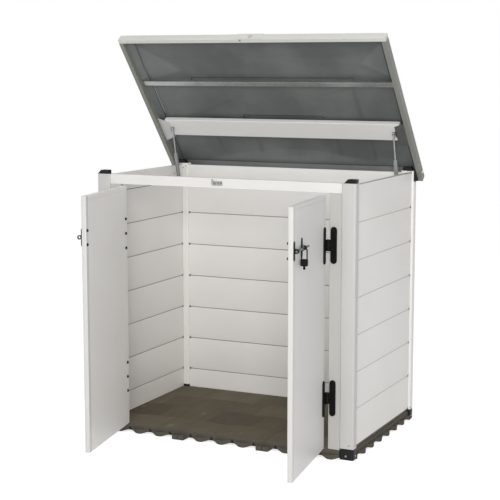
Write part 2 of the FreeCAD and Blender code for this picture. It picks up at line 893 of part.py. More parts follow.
def frustum(x_inset0, rear0, front0, rise0, x_inset1, rear1, front1, rise1):
    """A block with sloping sides between two rectangles at different heights."""
    corners = []
    for x_inset, rear, front, rise in ((x_inset0, rear0, front0, rise0), (x_inset1, rear1, front1, rise1)):
        x = lid_half_width - x_inset
        z = lid_base + rise
        corners.append([
            Vector(-x, lid_rear - front, z),
            Vector(x, lid_rear - front, z),
            Vector(x, lid_rear - rear, z),
            Vector(-x, lid_rear - rear, z),
        ])
    low, high = corners
    faces = [Part.Face(closed(low)), Part.Face(closed(high))]
    for index in range(len(low)):
        after = (index + 1) % len(low)
        faces.append(Part.Face(closed([low[index], low[after], high[after], high[index]])))
    return Part.makeSolid(Part.makeShell(faces))


skin_rear = skin_rear_border - lid_rail_tail
skin_front = lid_length - lid_rail_width
skin_edge_rise = lid_rail_height + skin_thickness


def crown_block(margin, drop):
    """The raised middle of the lid, drawn in by a margin at its edge and lowered by a drop."""
    side = lid_rail_width + margin
    rear = skin_rear + margin
    front = skin_front - margin
    bevel = frustum(
        side, rear, front, skin_edge_rise - drop,
        side + skin_bevel_run, rear + skin_bevel_run, front - skin_bevel_run,
        skin_edge_rise + skin_bevel_rise - drop,
    )
    run = skin_bevel_run + skin_crown_run
    crown = frustum(
        side + skin_bevel_run, rear + skin_bevel_run, front - skin_bevel_run,
        skin_edge_rise + skin_bevel_rise - drop,
        side + run, rear + run, front - run,
        skin_edge_rise + skin_bevel_rise + skin_crown_rise - drop,
    )
    return bevel.fuse(crown).removeSplitter()


def lid_skin():
    border = lid_box(
        -lid_half_width, lid_half_width, -lid_rail_tail, lid_length, lid_rail_height, skin_edge_rise,
    )
    outer = border.fuse(crown_block(0, 0))
    return outer.cut(crown_block(0, skin_thickness)).removeSplitter()


def liner_slot(place, length, rise):
    centre = Vector(liner_slot_x, lid_rear - place, lid_base + rise - cut_overshoot)
    outline = rounded_outline(centre, rightward, backward, length, liner_slot_width, liner_slot_round)
    return extruded(outline, upward * (cut_overshoot + liner_slot_depth))


def lid_liner():
    drop = skin_thickness + liner_gap
    outer = crown_block(liner_gap, drop)
    inner = crown_block(liner_gap, drop + liner_thickness)
    ceiling = skin_edge_rise + skin_bevel_rise + skin_crown_rise - drop - liner_thickness
    upper_slot = liner_slot(liner_slot_place, liner_slot_length, ceiling)
    lower_slot = liner_slot(liner_lower_slot_place, liner_lower_slot_length, ceiling)
    return outer.cut(inner).cut(upper_slot).cut(lower_slot)


def lid_side_rail():
    rail = lid_box(lid_inner_x, lid_half_width, -lid_rail_tail, front_rail_place, 0, lid_rail_height)
    bore = rod(
        Vector(lid_inner_x - cut_overshoot, pivot_y, pivot_z), rightward,
        lid_bolt_diameter + 2 * lid_bolt_bore_gap, lid_rail_width + 2 * cut_overshoot,
    )
    return rail.cut(bore)


def lid_front_rail():
    rail = lid_box(-lid_half_width, lid_half_width, front_rail_place, lid_length, 0, lid_rail_height)
    pin_place_y = lid_rear - front_rail_place - lid_rail_width / 2
    keeper_hole = faceted_bore(
        Vector(keeper_x, pin_place_y, lid_base - cut_overshoot), upward,
        keeper_pin_bore, cut_overshoot + keeper_pin_rise + keeper_arm_gap,
    )
    return rail.cut(keeper_hole).cut(barrel_socket())


def barrel_socket():
    start = Vector(barrel_x, lid_rear - lid_length + barrel_depth, lid_base + barrel_rise)
    depth = barrel_depth + lock_plate_thickness + cut_overshoot
    return faceted_bore(start, -backward, barrel_diameter + 2 * barrel_bore_gap, depth)


def lock_plate():
    centre = Vector(lock_plate_x, lid_rear - lid_length, lid_base + lock_plate_height / 2)
    outline = rounded_outline(
        centre, rightward, upward, lock_plate_width, lock_plate_height, lock_plate_round,
    )
    return extruded(outline, -backward * lock_plate_thickness).cut(barrel_socket())


def lock_barrel():
    back_y = lid_rear - lid_length + barrel_depth - liner_gap
    collar_y = lid_rear - lid_length - lock_plate_thickness
    face_y = collar_y - barrel_collar_height
    z = lid_base + barrel_rise
    body = rod(Vector(barrel_x, back_y, z), -backward, barrel_diameter, back_y - collar_y)
    collar_start = Vector(barrel_x, collar_y, z)
    collar = faceted_rod(collar_start, -backward, barrel_collar_diameter, barrel_collar_height)
    slot = box(
        barrel_x - key_slot_width / 2, barrel_x + key_slot_width / 2,
        face_y - cut_overshoot, face_y + key_slot_depth,
        z - key_slot_length / 2, z + key_slot_length / 2,
    )
    return body.fuse(collar).cut(slot).removeSplitter()


def lid_bracket():
    """A plate under the beam's end that tapers inwards, with an ear for the strut."""
    top = beam_base
    low = top - lid_bracket_thickness
    middle = lid_bracket_rear + lid_bracket_wide / 2
    ear_x = half_width - lid_ear_inset - lid_bracket_thickness
    inner_x = ear_x - lid_bracket_lip
    z = lid_base + low
    points = [
        Vector(lid_inner_x, lid_rear - middle - lid_bracket_wide / 2, z),
        Vector(lid_inner_x, lid_rear - middle + lid_bracket_wide / 2, z),
        Vector(inner_x, lid_rear - middle + lid_bracket_narrow / 2, z),
        Vector(inner_x, lid_rear - middle - lid_bracket_narrow / 2, z),
    ]
    plate = extruded(points, upward * lid_bracket_thickness)
    ear = lid_box(
        ear_x, ear_x + lid_bracket_thickness, strut_head_place - lid_ear_width / 2,
        strut_head_place + lid_ear_width / 2, lid_ear_base, low,
    )
    return plate.fuse(ear).removeSplitter()


def make_lid():
    flange = lid_box(
        -lid_inner_x, lid_inner_x, -lid_rail_tail, rear_flange_thickness - lid_rail_tail,
        lid_rail_height - rear_flange_height, lid_rail_height,
    )
    cross_bar = lid_box(
        -lid_inner_x, lid_inner_x, cross_bar_place, cross_bar_place + cross_bar_width,
        cross_bar_base, cross_bar_base + cross_bar_height,
    )
    beam_x = lid_inner_x - beam_end_gap
    beam = lid_box(-beam_x, beam_x, beam_place, beam_place + beam_width, beam_base, beam_base + beam_height)
    save("lid_front_rail", [rest_lid(lid_front_rail())])
    save("lid_side_rail_right", [rest_lid(lid_side_rail())])
    save("lid_side_rail_left", [rest_lid(mirrored(lid_side_rail()))])
    save("lid_rear_flange", [rest_lid(flange)])
    save("lid_skin", [rest_lid(lid_skin())])
    save("lid_liner", [rest_lid(lid_liner())])
    save("lid_cross_bar", [rest_lid(cross_bar)])
    save("lid_beam", [rest_lid(beam)])
    save("lid_strut_brackets", [rest_lid(item) for item in both_sides(lid_bracket())])
    save("lid_lock_plate", [rest_lid(lock_plate())])
    save("lid_lock_barrel", [rest_lid(lock_barrel())])


# Pivots of the lid: blocks on the rear posts, and a bolt through each side rail

def make_lid_pivots():
    top_z = pivot_z + hinge_block_above
    low_z = pivot_z - hinge_block_below
    points = [
        Vector(half_width, half_depth - hinge_block_depth, low_z),
        Vector(half_width, half_depth, low_z),
        Vector(half_width, half_depth, top_z - hinge_block_slope_drop),
        Vector(half_width, half_depth - hinge_block_slope_run, top_z),
        Vector(half_width, half_depth - hinge_block_depth, top_z),
    ]
    block = extruded(points, rightward * (lid_inner_x - hinge_block_gap - half_width))
    start = Vector(half_width + lid_bolt_root_gap, pivot_y, pivot_z)
    bore = faceted_bore(start, rightward, lid_bolt_diameter + 2 * lid_bolt_bore_gap, lid_rail_width)
    save("lid_hinge_blocks", both_sides(block.cut(bore)))
    shaft_length = lid_half_width + washer_gap - start.x
    shaft = rod(start, rightward, lid_bolt_diameter, shaft_length)
    head = faceted_rod(
        start + rightward * shaft_length, rightward,
        lid_bolt_head_diameter, lid_bolt_head_height, lid_bolt_head_sides,
    )
    save("lid_hinge_bolts", both_sides(shaft.fuse(head).removeSplitter()))


# Gas struts, drawn along their line at rest

def strut_line():
    head = rest_lid(Part.Vertex(strut_head_closed)).Point
    return head, (head - strut_foot).normalize()


def strut_tube():
    _, direction = strut_line()
    eye_start = strut_foot - rightward * strut_eye_width / 2
    eye = faceted_rod(eye_start, rightward, strut_eye_diameter, strut_eye_width)
    tube = faceted_rod(
        strut_foot + direction * strut_tube_start, direction, strut_tube_diameter,
        strut_tube_length - strut_tube_start,
    )
    neck = faceted_rod(strut_foot, direction, strut_rod_diameter, strut_bore_start)
    pin_bore = rod(
        eye_start - rightward * cut_overshoot, rightward,
        strut_pin_diameter + 2 * strut_pin_gap, strut_eye_width + 2 * cut_overshoot,
    )
    rod_bore = faceted_bore(
        strut_foot + direction * strut_bore_start, direction,
        strut_rod_diameter + 2 * strut_bore_gap, strut_tube_length,
    )
    return eye.fuse([neck, tube]).cut(pin_bore).cut(rod_bore).removeSplitter()


def strut_rod():
    head, direction = strut_line()
    shaft = faceted_rod(head, -direction, strut_rod_diameter, strut_rod_length)
    eye = faceted_rod(
        head - rightward * strut_eye_width / 2, rightward, strut_head_diameter, strut_eye_width,
    )
    ear_x = half_width - lid_ear_inset - lid_bracket_thickness
    stud = faceted_rod(head, rightward, strut_pin_diameter, ear_x - head_stud_gap - strut_x)
    return shaft.fuse([eye, stud]).removeSplitter()


def strut_wall_bracket():
    outline = rounded_outline(
        Vector(side_wall_inner, strut_foot.y, strut_foot.z), backward, upward,
        wall_bracket_width, wall_bracket_height, wall_bracket_round,
    )
    plate = extruded(outline, -rightward * wall_bracket_thickness)
    inner_x = side_wall_inner - wall_bracket_thickness
    start = Vector(inner_x, strut_foot.y, strut_foot.z)
    pin_end = strut_x - strut_eye_width / 2 - strut_side_gap
    pin = rod(start, -rightward, strut_pin_diameter, inner_x - pin_end)
    collar_length = inner_x - strut_eye_outer - strut_side_gap
    collar = faceted_rod(start, -rightward, strut_pin_collar, collar_length)
    return plate.fuse([pin, collar]).removeSplitter()


def make_struts():
    save("strut_wall_brackets", both_sides(strut_wall_bracket()))
    save("strut_cylinder_right", [strut_tube()])
    save("strut_cylinder_left", [mirrored(strut_tube())])
    save("strut_rod_right", [strut_rod()])
    save("strut_rod_left", [mirrored(strut_rod())])


def main():
    os.makedirs("parts", exist_ok=True)
    make_floor()
    make_posts()
    make_walls()
    make_front_frame()
    make_frame_hinges()
    make_right_door()
    make_left_door()
    make_lid_pivots()
    make_lid()
    make_struts()


main()
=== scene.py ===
import json
import math
import bmesh
import bpy
import numpy as np
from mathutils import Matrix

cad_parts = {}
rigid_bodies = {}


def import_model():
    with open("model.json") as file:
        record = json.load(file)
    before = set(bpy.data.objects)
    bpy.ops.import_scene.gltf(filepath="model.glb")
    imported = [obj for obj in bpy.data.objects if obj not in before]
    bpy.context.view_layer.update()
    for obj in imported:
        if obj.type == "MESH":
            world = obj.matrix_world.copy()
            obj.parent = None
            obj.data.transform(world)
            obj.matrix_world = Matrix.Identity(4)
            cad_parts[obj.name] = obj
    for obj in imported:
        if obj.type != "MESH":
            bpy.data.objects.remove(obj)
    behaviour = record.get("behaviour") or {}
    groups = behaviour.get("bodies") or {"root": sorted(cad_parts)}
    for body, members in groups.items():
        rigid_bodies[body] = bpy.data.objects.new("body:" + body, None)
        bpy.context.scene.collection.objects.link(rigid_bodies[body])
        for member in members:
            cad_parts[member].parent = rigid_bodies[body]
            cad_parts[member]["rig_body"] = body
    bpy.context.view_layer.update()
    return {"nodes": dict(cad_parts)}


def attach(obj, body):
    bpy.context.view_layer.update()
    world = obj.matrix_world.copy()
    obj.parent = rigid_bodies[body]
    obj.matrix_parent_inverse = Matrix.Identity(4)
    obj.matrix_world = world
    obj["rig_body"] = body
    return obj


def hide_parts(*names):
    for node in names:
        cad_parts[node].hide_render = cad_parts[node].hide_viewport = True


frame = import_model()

# Garden storage box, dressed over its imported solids. Metres, doors at the front, ground at Z 0.
nodes = frame["nodes"]
print("stage: frame loaded,", len(nodes), "nodes")


# Shapes: small helpers that all pieces share

mergeDistance = 2e-6
flatAngle = 0.6
nearUpright = 0.9


# Quads of a grid of rows by columns; wrapped, the last column joins the first
def gridQuads(rows, columns, wrapped=False):
    i, j = np.meshgrid(np.arange(rows - 1), np.arange(columns if wrapped else columns - 1), indexing="ij")
    after = (j + 1) % columns
    corners = [i * columns + j, (i + 1) * columns + j, (i + 1) * columns + after, i * columns + after]
    return np.stack(corners, -1).reshape(-1, 4)


restPlaces = {
    "right_door": {"centre": (0.4925, -0.391, 0), "axis": (0, 0, 1), "degrees": 98},
    "left_door": {"centre": (-0.4925, -0.391, 0), "axis": (0, 0, -1), "degrees": 79},
    "lid": {"centre": (0, 0.361, 1.152), "axis": (-1, 0, 0), "degrees": 50},
}
restPlaces["latch_bolt"] = restPlaces["right_door"]
restPlaces["padlock"] = restPlaces["right_door"]
restPlaces["lid_lock_barrel"] = restPlaces["lid"]


# Points drawn with doors and lid shut, turned to where the body stands open, from the centre about the axis:
# along*(along.p) + cos*(p - along*(along.p)) + sin*(along x p)
def atRest(points, body):
    if body not in restPlaces:
        return points
    place = restPlaces[body]
    along = np.array(place["axis"], float)
    away = points - np.array(place["centre"])
    lengthwise = (away @ along)[..., None] * along
    angle = math.radians(place["degrees"])
    around = np.cos(angle) * (away - lengthwise) + np.sin(angle) * np.cross(along, away)
    return np.array(place["centre"]) + lengthwise + around


# The mesh as an editable form without double points
def merged(mesh):
    form = bmesh.new()
    form.from_mesh(mesh)
    bmesh.ops.remove_doubles(form, verts=form.verts, dist=mergeDistance)
    return form


# Writes the form back, smooth below an angle, and puts the mesh into the scene with its material
def placed(name, mesh, form, sharp, look):
    form.to_mesh(mesh)
    form.free()
    mesh.polygons.foreach_set("use_smooth", np.ones(len(mesh.polygons), bool))
    mesh.set_sharp_from_angle(angle=math.radians(sharp))
    mesh.materials.clear()
    mesh.materials.append(materials[look])
    piece = bpy.data.objects.new(name, mesh)
    bpy.context.scene.collection.objects.link(piece)
    return piece


# A piece from points and faces, drawn with doors and lid shut, which stands for a node where one is given;
# shade is a number per point, for painted shade and light, that its material reads
def makePiece(name, points, faces, body, look, node=None, sharp=35, shade=None):
    mesh = bpy.data.meshes.new(name)
    mesh.from_pydata(atRest(np.asarray(points).reshape(-1, 3), body).tolist(), [], faces.tolist())
    if shade is not None:
        mesh.attributes.new("shade", "FLOAT", "POINT").data.foreach_set("value", shade)
    form = merged(mesh)
    bmesh.ops.recalc_face_normals(form, faces=form.faces)
    piece = placed(name, mesh, form, sharp, look)
    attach(piece, body)
    if node:
        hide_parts(node)


# Several parts' points and faces as one
def joined(*parts):
    starts = np.cumsum([0] + [len(points) for points, _ in parts[:-1]])
    faces = [quads + start for (_, quads), start in zip(parts, starts)]
    return np.concatenate([points for points, _ in parts]), np.concatenate(faces)


# A hill of height 1 over a distance: exp(-(away/width)^2)
def hill(away, width):
    return np.exp(-(away / width) ** 2)


# Two directions square to an axis
def crossways(axis):
    along = np.array(axis, float) / np.linalg.norm(axis)
    across = np.cross(along, (0, 0, 1.0)) if abs(along[2]) < nearUpright else np.array((1.0, 0, 0))
    across = across / np.linalg.norm(across)
    return along, across, np.cross(along, across)


# A shape's grid of points set down at each centre, with its quads; the grid's columns are wrapped
def copied(one, centres):
    places = np.array(centres, float)
    points = places[:, None, None, :] + one[None]
    copies = np.arange(len(places))[:, None, None] * one.shape[0] * one.shape[1]
    quads = gridQuads(one.shape[0], one.shape[1], wrapped=True)[None] + copies
    return points.reshape(-1, 3), quads.reshape(-1, 4)


# Each profile point (radius r, height h) goes round the axis: centre + h*axis + r*(cos t*across + sin t*up)
def revolved(profile, centres, axis, sides):
    along, across, up = crossways(axis)
    t = np.linspace(0, 2 * np.pi, sides, endpoint=False)
    ring = np.cos(t)[:, None] * across + np.sin(t)[:, None] * up
    r, h = np.array(profile, float).T
    return copied(h[:, None, None] * along + r[:, None, None] * ring[None], centres)


# Profile of a dome over a height: radius*cos a, base + rise*sin a
def domeProfile(radius, base, rise, steps):
    return [(radius * math.cos(a), base + rise * math.sin(a)) for a in np.linspace(0, np.pi / 2, steps)]


# Profile of a round side from start to end, with a quarter round at both ends
def sideProfile(radius, start, end, curve, steps):
    a = np.linspace(0, np.pi / 2, steps)
    low = [(radius - curve * (1 - math.sin(t)), start + curve * (1 - math.cos(t))) for t in a]
    return low + [(radius - curve * (1 - math.cos(t)), end - curve * (1 - math.sin(t))) for t in a]


# Profile of a closed bar
def barProfile(radius, start, end):
    return [(0, start), (radius, start), (radius, end), (0, end)]


# A round wire: path + radius*(cos t*side + sin t*(tangent x side)), closed by a point at each end
def wire(path, radius, side, sides):
    tangent = np.gradient(path, axis=0)
    tangent = tangent / np.linalg.norm(tangent, axis=1)[:, None]
    square = np.cross(tangent, side)
    t = np.linspace(0, 2 * np.pi, sides, endpoint=False)
    ring = np.cos(t)[None, :, None] * np.array(side) + np.sin(t)[None, :, None] * square[:, None]
    body = path[:, None] + radius * ring
    first = np.repeat(path[:1, None], sides, 1)
    last = np.repeat(path[-1:, None], sides, 1)
    points = np.concatenate([first, body, last])
    return points.reshape(-1, 3), gridQuads(len(points), sides, wrapped=True)


# A merged copy of a CAD node with rounded edges, which stands for the node
def softened(node, rounding, look, segments=2, limit=30):
    source = nodes[node]
    mesh = source.data.copy()
    mesh.name = node + "_soft"
    form = merged(mesh)
    bmesh.ops.dissolve_limit(form, angle_limit=math.radians(flatAngle), verts=form.verts, edges=form.edges)
    piece = placed(node + "_soft", mesh, form, limit, look)
    bevel = piece.modifiers.new("edge", "BEVEL")
    bevel.width = roundings[rounding]
    bevel.segments = segments
    bevel.limit_method = "ANGLE"
    bevel.angle_limit = math.radians(limit)
    bevel.harden_normals = True
    bevel.use_clamp_overlap = True
    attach(piece, source["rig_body"])
    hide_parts(node)


# Names of nodes, with their rounding, material and, where they differ, segments and least angle of an edge
def softenAll(rows):
    for names, settings in rows.items():
        for node in names.split():
            softened(node, *settings)


# Shader groups: effects that more than one material uses

# Each input has its default number or vector, or the kind of a socket that is always linked
def startGroup(name, inputs, outputs):
    tree = bpy.data.node_groups.new(name, "ShaderNodeTree")
    for label, value in inputs.items():
        if isinstance(value, str):
            tree.interface.new_socket(name=label, in_out="INPUT", socket_type="NodeSocket" + value)
        else:
            kind = "NodeSocketVector" if isinstance(value, tuple) else "NodeSocketFloat"
            tree.interface.new_socket(name=label, in_out="INPUT", socket_type=kind).default_value = value
    for label, kind in outputs.items():
        tree.interface.new_socket(name=label, in_out="OUTPUT", socket_type="NodeSocket" + kind)
    return tree, tree.nodes.new("NodeGroupInput"), tree.nodes.new("NodeGroupOutput")


# Sets a node's inputs, or links those whose value is a socket
def feed(tree, node, inputs):
    for key, value in inputs.items():
        if isinstance(value, bpy.types.NodeSocket):
            tree.links.new(value, node.inputs[key])
        else:
            node.inputs[key].default_value = value


def addNode(tree, kind, inputs=None, **settings):
    made = tree.nodes.new(kind)
    for key, value in settings.items():
        setattr(made, key, value)
    feed(tree, made, inputs or {})
    return made


def maths(tree, operation, first, second=0.0, third=None):
    values = {0: first, 1: second}
    if third is not None:
        values[2] = third
    return addNode(tree, "ShaderNodeMath", values, operation=operation).outputs[0]


def vectorMaths(tree, operation, first, second):
    return addNode(tree, "ShaderNodeVectorMath", {0: first, 1: second}, operation=operation).outputs[0]


def parted(tree, vector):
    return addNode(tree, "ShaderNodeSeparateXYZ", {0: vector}).outputs


def blended(tree, share, first, second):
    return addNode(tree, "ShaderNodeMix", {0: share, 6: first, 7: second}, data_type="RGBA").outputs[2]


def noise(tree, vector, scale, detail, roughness=0.5):
    return addNode(tree, "ShaderNodeTexNoise", {
        "Vector": vector, "Scale": scale, "Detail": detail, "Roughness": roughness,
    }).outputs


# The start value up to low, the end value from high on, and a soft step between
def softStep(tree, value, low, high, start=0.0, end=1.0):
    return addNode(tree, "ShaderNodeMapRange", {
        "Value": value, "From Min": low, "From Max": high, "To Min": start, "To Max": end,
    }, interpolation_type="SMOOTHSTEP").outputs[0]


cloudLook = {"noise": {"detail": 5.0, "roughness": 0.55}, "step": {"low": 0.34, "high": 0.68}}
grainLook = {"detail": 3.0, "roughness": 0.6}


# Cloudy change between two colours, and a roughness that follows it
def cloudGroup():
    tree, start, end = startGroup("cloudyTone", {
        "Vector": "Vector", "Color": "Color", "Other": "Color", "Scale": 6.0, "Share": 0.5,
        "Rough": 0.4, "Spread": 0.06,
    }, {"Color": "Color", "Roughness": "Float"})
    given = start.outputs
    cloud = noise(tree, given["Vector"], given["Scale"], **cloudLook["noise"])["Fac"]
    band = softStep(tree, cloud, **cloudLook["step"])
    share = maths(tree, "MULTIPLY", band, given["Share"])
    rough = maths(tree, "MULTIPLY_ADD", band, given["Spread"], given["Rough"])
    feed(tree, end, {"Color": blended(tree, share, given["Color"], given["Other"]), "Roughness": rough})
    return tree


# Fine moulded grain or drawn streaks, as a height for a Bump node
def grainGroup():
    tree, start, end = startGroup("surfaceGrain", {
        "Vector": "Vector", "Scale": 400.0, "Stretch": (1, 1, 1),
    }, {"Height": "Float"})
    pulled = vectorMaths(tree, "MULTIPLY", start.outputs["Vector"], start.outputs["Stretch"])
    feed(tree, end, {"Height": noise(tree, pulled, start.outputs["Scale"], **grainLook)["Fac"]})
    return tree


# Painted shade in lines that repeat up the wall, in the V grooves: 1 in the line, 0 past its width. A line
# starts thin at one end of the board and grows to a dark gap of painted shade at the other: width + (end
# width - width)*near the end
def grooveGroup():
    tree, start, end = startGroup("grooveShade", {
        "Height": 0.0, "Along": 0.0, "Pitch": 0.1565, "Start": 0.052, "Width": 0.002, "Groove Shade": 0.7,
        "End": 0.346, "End Reach": 0.009, "End Width": 0.0085,
    }, {"Mask": "Float"})
    given = start.outputs
    moved = maths(tree, "SUBTRACT", given["Height"], given["Start"])
    away = maths(tree, "PINGPONG", moved, maths(tree, "MULTIPLY", given["Pitch"], 0.5))
    reached = maths(tree, "SUBTRACT", given["End"], given["End Reach"])
    gap = maths(tree, "GREATER_THAN", given["Along"], reached)
    wider = maths(tree, "SUBTRACT", given["End Width"], given["Width"])
    width = maths(tree, "MULTIPLY_ADD", gap, wider, given["Width"])
    line = softStep(tree, away, 0.0, width, 1.0, 0.0)
    shadeToFull = maths(tree, "SUBTRACT", 1.0, given["Groove Shade"])
    strength = maths(tree, "MULTIPLY_ADD", gap, shadeToFull, given["Groove Shade"])
    feed(tree, end, {"Mask": maths(tree, "MULTIPLY", line, strength)})
    return tree


woodLook = {
    "wobble": {"scale": 7.0, "detail": 2.0}, "shift": (0.05, 0.05, 0), "stagger": 0.37,
    "fibre": {"scale": 62.0, "detail": 4.0, "roughness": 0.6}, "fibrePull": (1.0, 0.10, 1.0),
    "cloud": {"scale": 9.0, "detail": 3.0}, "toneShare": 0.42, "cloudShare": 0.25, "fibreShare": 0.3,
    "lowered": 0.02, "glint": (0.63, 0.71), "gate": (0.5, 0.62), "brightShare": 0.8,
    "bright": (0.40, 0.36, 0.30, 1),
}


# Staggered patches of a wood print, with fibre streaks: a colour and a height
def woodGroup():
    look = woodLook
    tree, start, end = startGroup("woodPrint", {
        "Vector": "Vector", "Dark": "Color", "Light": "Color", "Length": 0.29, "Width": 0.13,
    }, {"Color": "Color", "Height": "Float"})
    given = start.outputs
    wobble = noise(tree, given["Vector"], **look["wobble"])["Color"]
    bent = vectorMaths(tree, "ADD", given["Vector"], vectorMaths(tree, "MULTIPLY", wobble, look["shift"]))
    place = parted(tree, bent)
    row = maths(tree, "FLOOR", maths(tree, "DIVIDE", place["Y"], given["Width"]))
    stagger = maths(tree, "MULTIPLY", row, look["stagger"])
    run = maths(tree, "ADD", maths(tree, "DIVIDE", place["X"], given["Length"]), stagger)
    cell = addNode(tree, "ShaderNodeCombineXYZ", {"X": maths(tree, "FLOOR", run), "Y": row}).outputs[0]
    patch = addNode(tree, "ShaderNodeTexWhiteNoise", {"Vector": cell}, noise_dimensions="3D")
    pulled = vectorMaths(tree, "MULTIPLY", given["Vector"], look["fibrePull"])
    fibre = noise(tree, pulled, **look["fibre"])["Fac"]
    cloud = noise(tree, given["Vector"], **look["cloud"])["Fac"]
    clouded = maths(tree, "MULTIPLY", cloud, look["cloudShare"])
    mixed = maths(tree, "MULTIPLY_ADD", patch.outputs["Value"], look["toneShare"], clouded)
    lowered = maths(tree, "SUBTRACT", mixed, look["lowered"])
    share = maths(tree, "MULTIPLY_ADD", fibre, look["fibreShare"], lowered)
    base = blended(tree, share, given["Dark"], given["Light"])
    glint = softStep(tree, fibre, *look["glint"])
    gate = softStep(tree, cloud, *look["gate"])
    bright = maths(tree, "MULTIPLY", maths(tree, "MULTIPLY", glint, gate), look["brightShare"])
    feed(tree, end, {"Color": blended(tree, bright, base, look["bright"]), "Height": fibre})
    return tree


groups = {"cloud": cloudGroup(), "grain": grainGroup(), "groove": grooveGroup(), "wood": woodGroup()}
print("stage: shader groups ready")


# Materials, all on Object coordinates turned back to the body's own directions

def useGroup(tree, name, inputs):
    return addNode(tree, "ShaderNodeGroup", inputs, node_tree=groups[name])


def rgba(color):
    return (*color, 1)


# The number per point of painted shade and light that makePiece writes
def shadeOf(tree):
    return addNode(tree, "ShaderNodeAttribute", attribute_name="shade").outputs["Fac"]


bodyTurns = {body: [-math.radians(place["degrees"]) * part for part in place["axis"]]
             for body, place in restPlaces.items()}
bodyTurns["none"] = (0, 0, 0)


# Base colour, roughness and bump from the cloud and grain groups; returns what can be added to
def finish(name, color, other, share, cloudScale, rough, spread, grainScale, bump, metallic=0.0,
           shine=0.5, turn="none", stretch=(1, 1, 1), coat=0.0, depth=0.0004):
    material = bpy.data.materials.new(name)
    material.use_nodes = True
    tree = material.node_tree
    shader = tree.nodes["Principled BSDF"]
    coords = addNode(tree, "ShaderNodeTexCoord")
    vector = addNode(tree, "ShaderNodeMapping", {
        "Vector": coords.outputs["Object"], "Rotation": bodyTurns[turn],
    }).outputs["Vector"]
    cloud = useGroup(tree, "cloud", {
        "Vector": vector, "Color": rgba(color), "Other": rgba(other), "Scale": cloudScale,
        "Share": share, "Rough": rough, "Spread": spread,
    })
    grain = useGroup(tree, "grain", {"Vector": vector, "Scale": grainScale, "Stretch": stretch})
    relief = addNode(tree, "ShaderNodeBump", {
        "Height": grain.outputs["Height"], "Strength": bump, "Distance": depth,
    })
    feed(tree, shader, {
        "Base Color": cloud.outputs["Color"], "Roughness": cloud.outputs["Roughness"], "Metallic": metallic,
        "Normal": relief.outputs["Normal"], "Coat Weight": coat, "Specular IOR Level": shine,
    })
    return {"material": material, "tree": tree, "base": shader.inputs["Base Color"], "vector": vector,
            "cloud": cloud.outputs["Color"], "relief": relief.inputs["Height"]}


whiteResin = {"share": 0.35, "cloudScale": 2.6, "rough": 0.38, "spread": 0.08, "grainScale": 90, "bump": 0.1}
streakPull = 0.02
# Lit and shaded copies of the one white resin: plain is its own tone, the bright tone is painted light, and
# the sheet, edge, post and jamb tones are painted shade
resinLitAndShadedTones = {
    "bright": ((0.895, 0.878, 0.850), (0.835, 0.818, 0.788)),
    "plain": ((0.815, 0.805, 0.787), (0.76, 0.748, 0.725)),
    "sheet": ((0.785, 0.778, 0.762), (0.73, 0.722, 0.702)),
    "edge": ((0.70, 0.69, 0.67), (0.67, 0.66, 0.635)),
    "deepShade": ((0.60, 0.592, 0.575), (0.55, 0.54, 0.52)),
    "jamb": ((0.525, 0.52, 0.495), (0.485, 0.48, 0.455)),
}


# White resin whose drawn streaks run along one direction, in one of its lit or shaded tones
def resin(name, along, turn="none", tone="plain"):
    stretch = tuple(streakPull if axis == along else 1.0 for axis in "XYZ")
    return finish(name, *resinLitAndShadedTones[tone], stretch=stretch, turn=turn, **whiteResin)


# Each part's resin, with the tone that paints its light or shade
resinRows = {
    "posts": ("whiteResinUpright", "Z", "none", "deepShade"),
    "jambs": ("whiteResinJamb", "Z", "none", "jamb"),
    "rightStile": ("whiteStileRight", "Z", "right_door", "edge"),
    "leftStile": ("whiteStileLeft", "Z", "left_door", "edge"),
    "rearPosts": ("whiteResinRear", "Z", "none", "bright"),
    "sideWalls": ("whiteBoardsSide", "Y", "none", "bright"),
    "backWall": ("whiteBoardsBack", "X", "none", "bright"),
    "lintel": ("whiteResinLevel", "X"),
    "rightDoor": ("whiteSheetRight", "Z", "right_door", "sheet"),
    "leftDoor": ("whiteSheetLeft", "Z", "left_door", "bright"),
    "beam": ("whiteResinBeam", "X", "lid"),
}

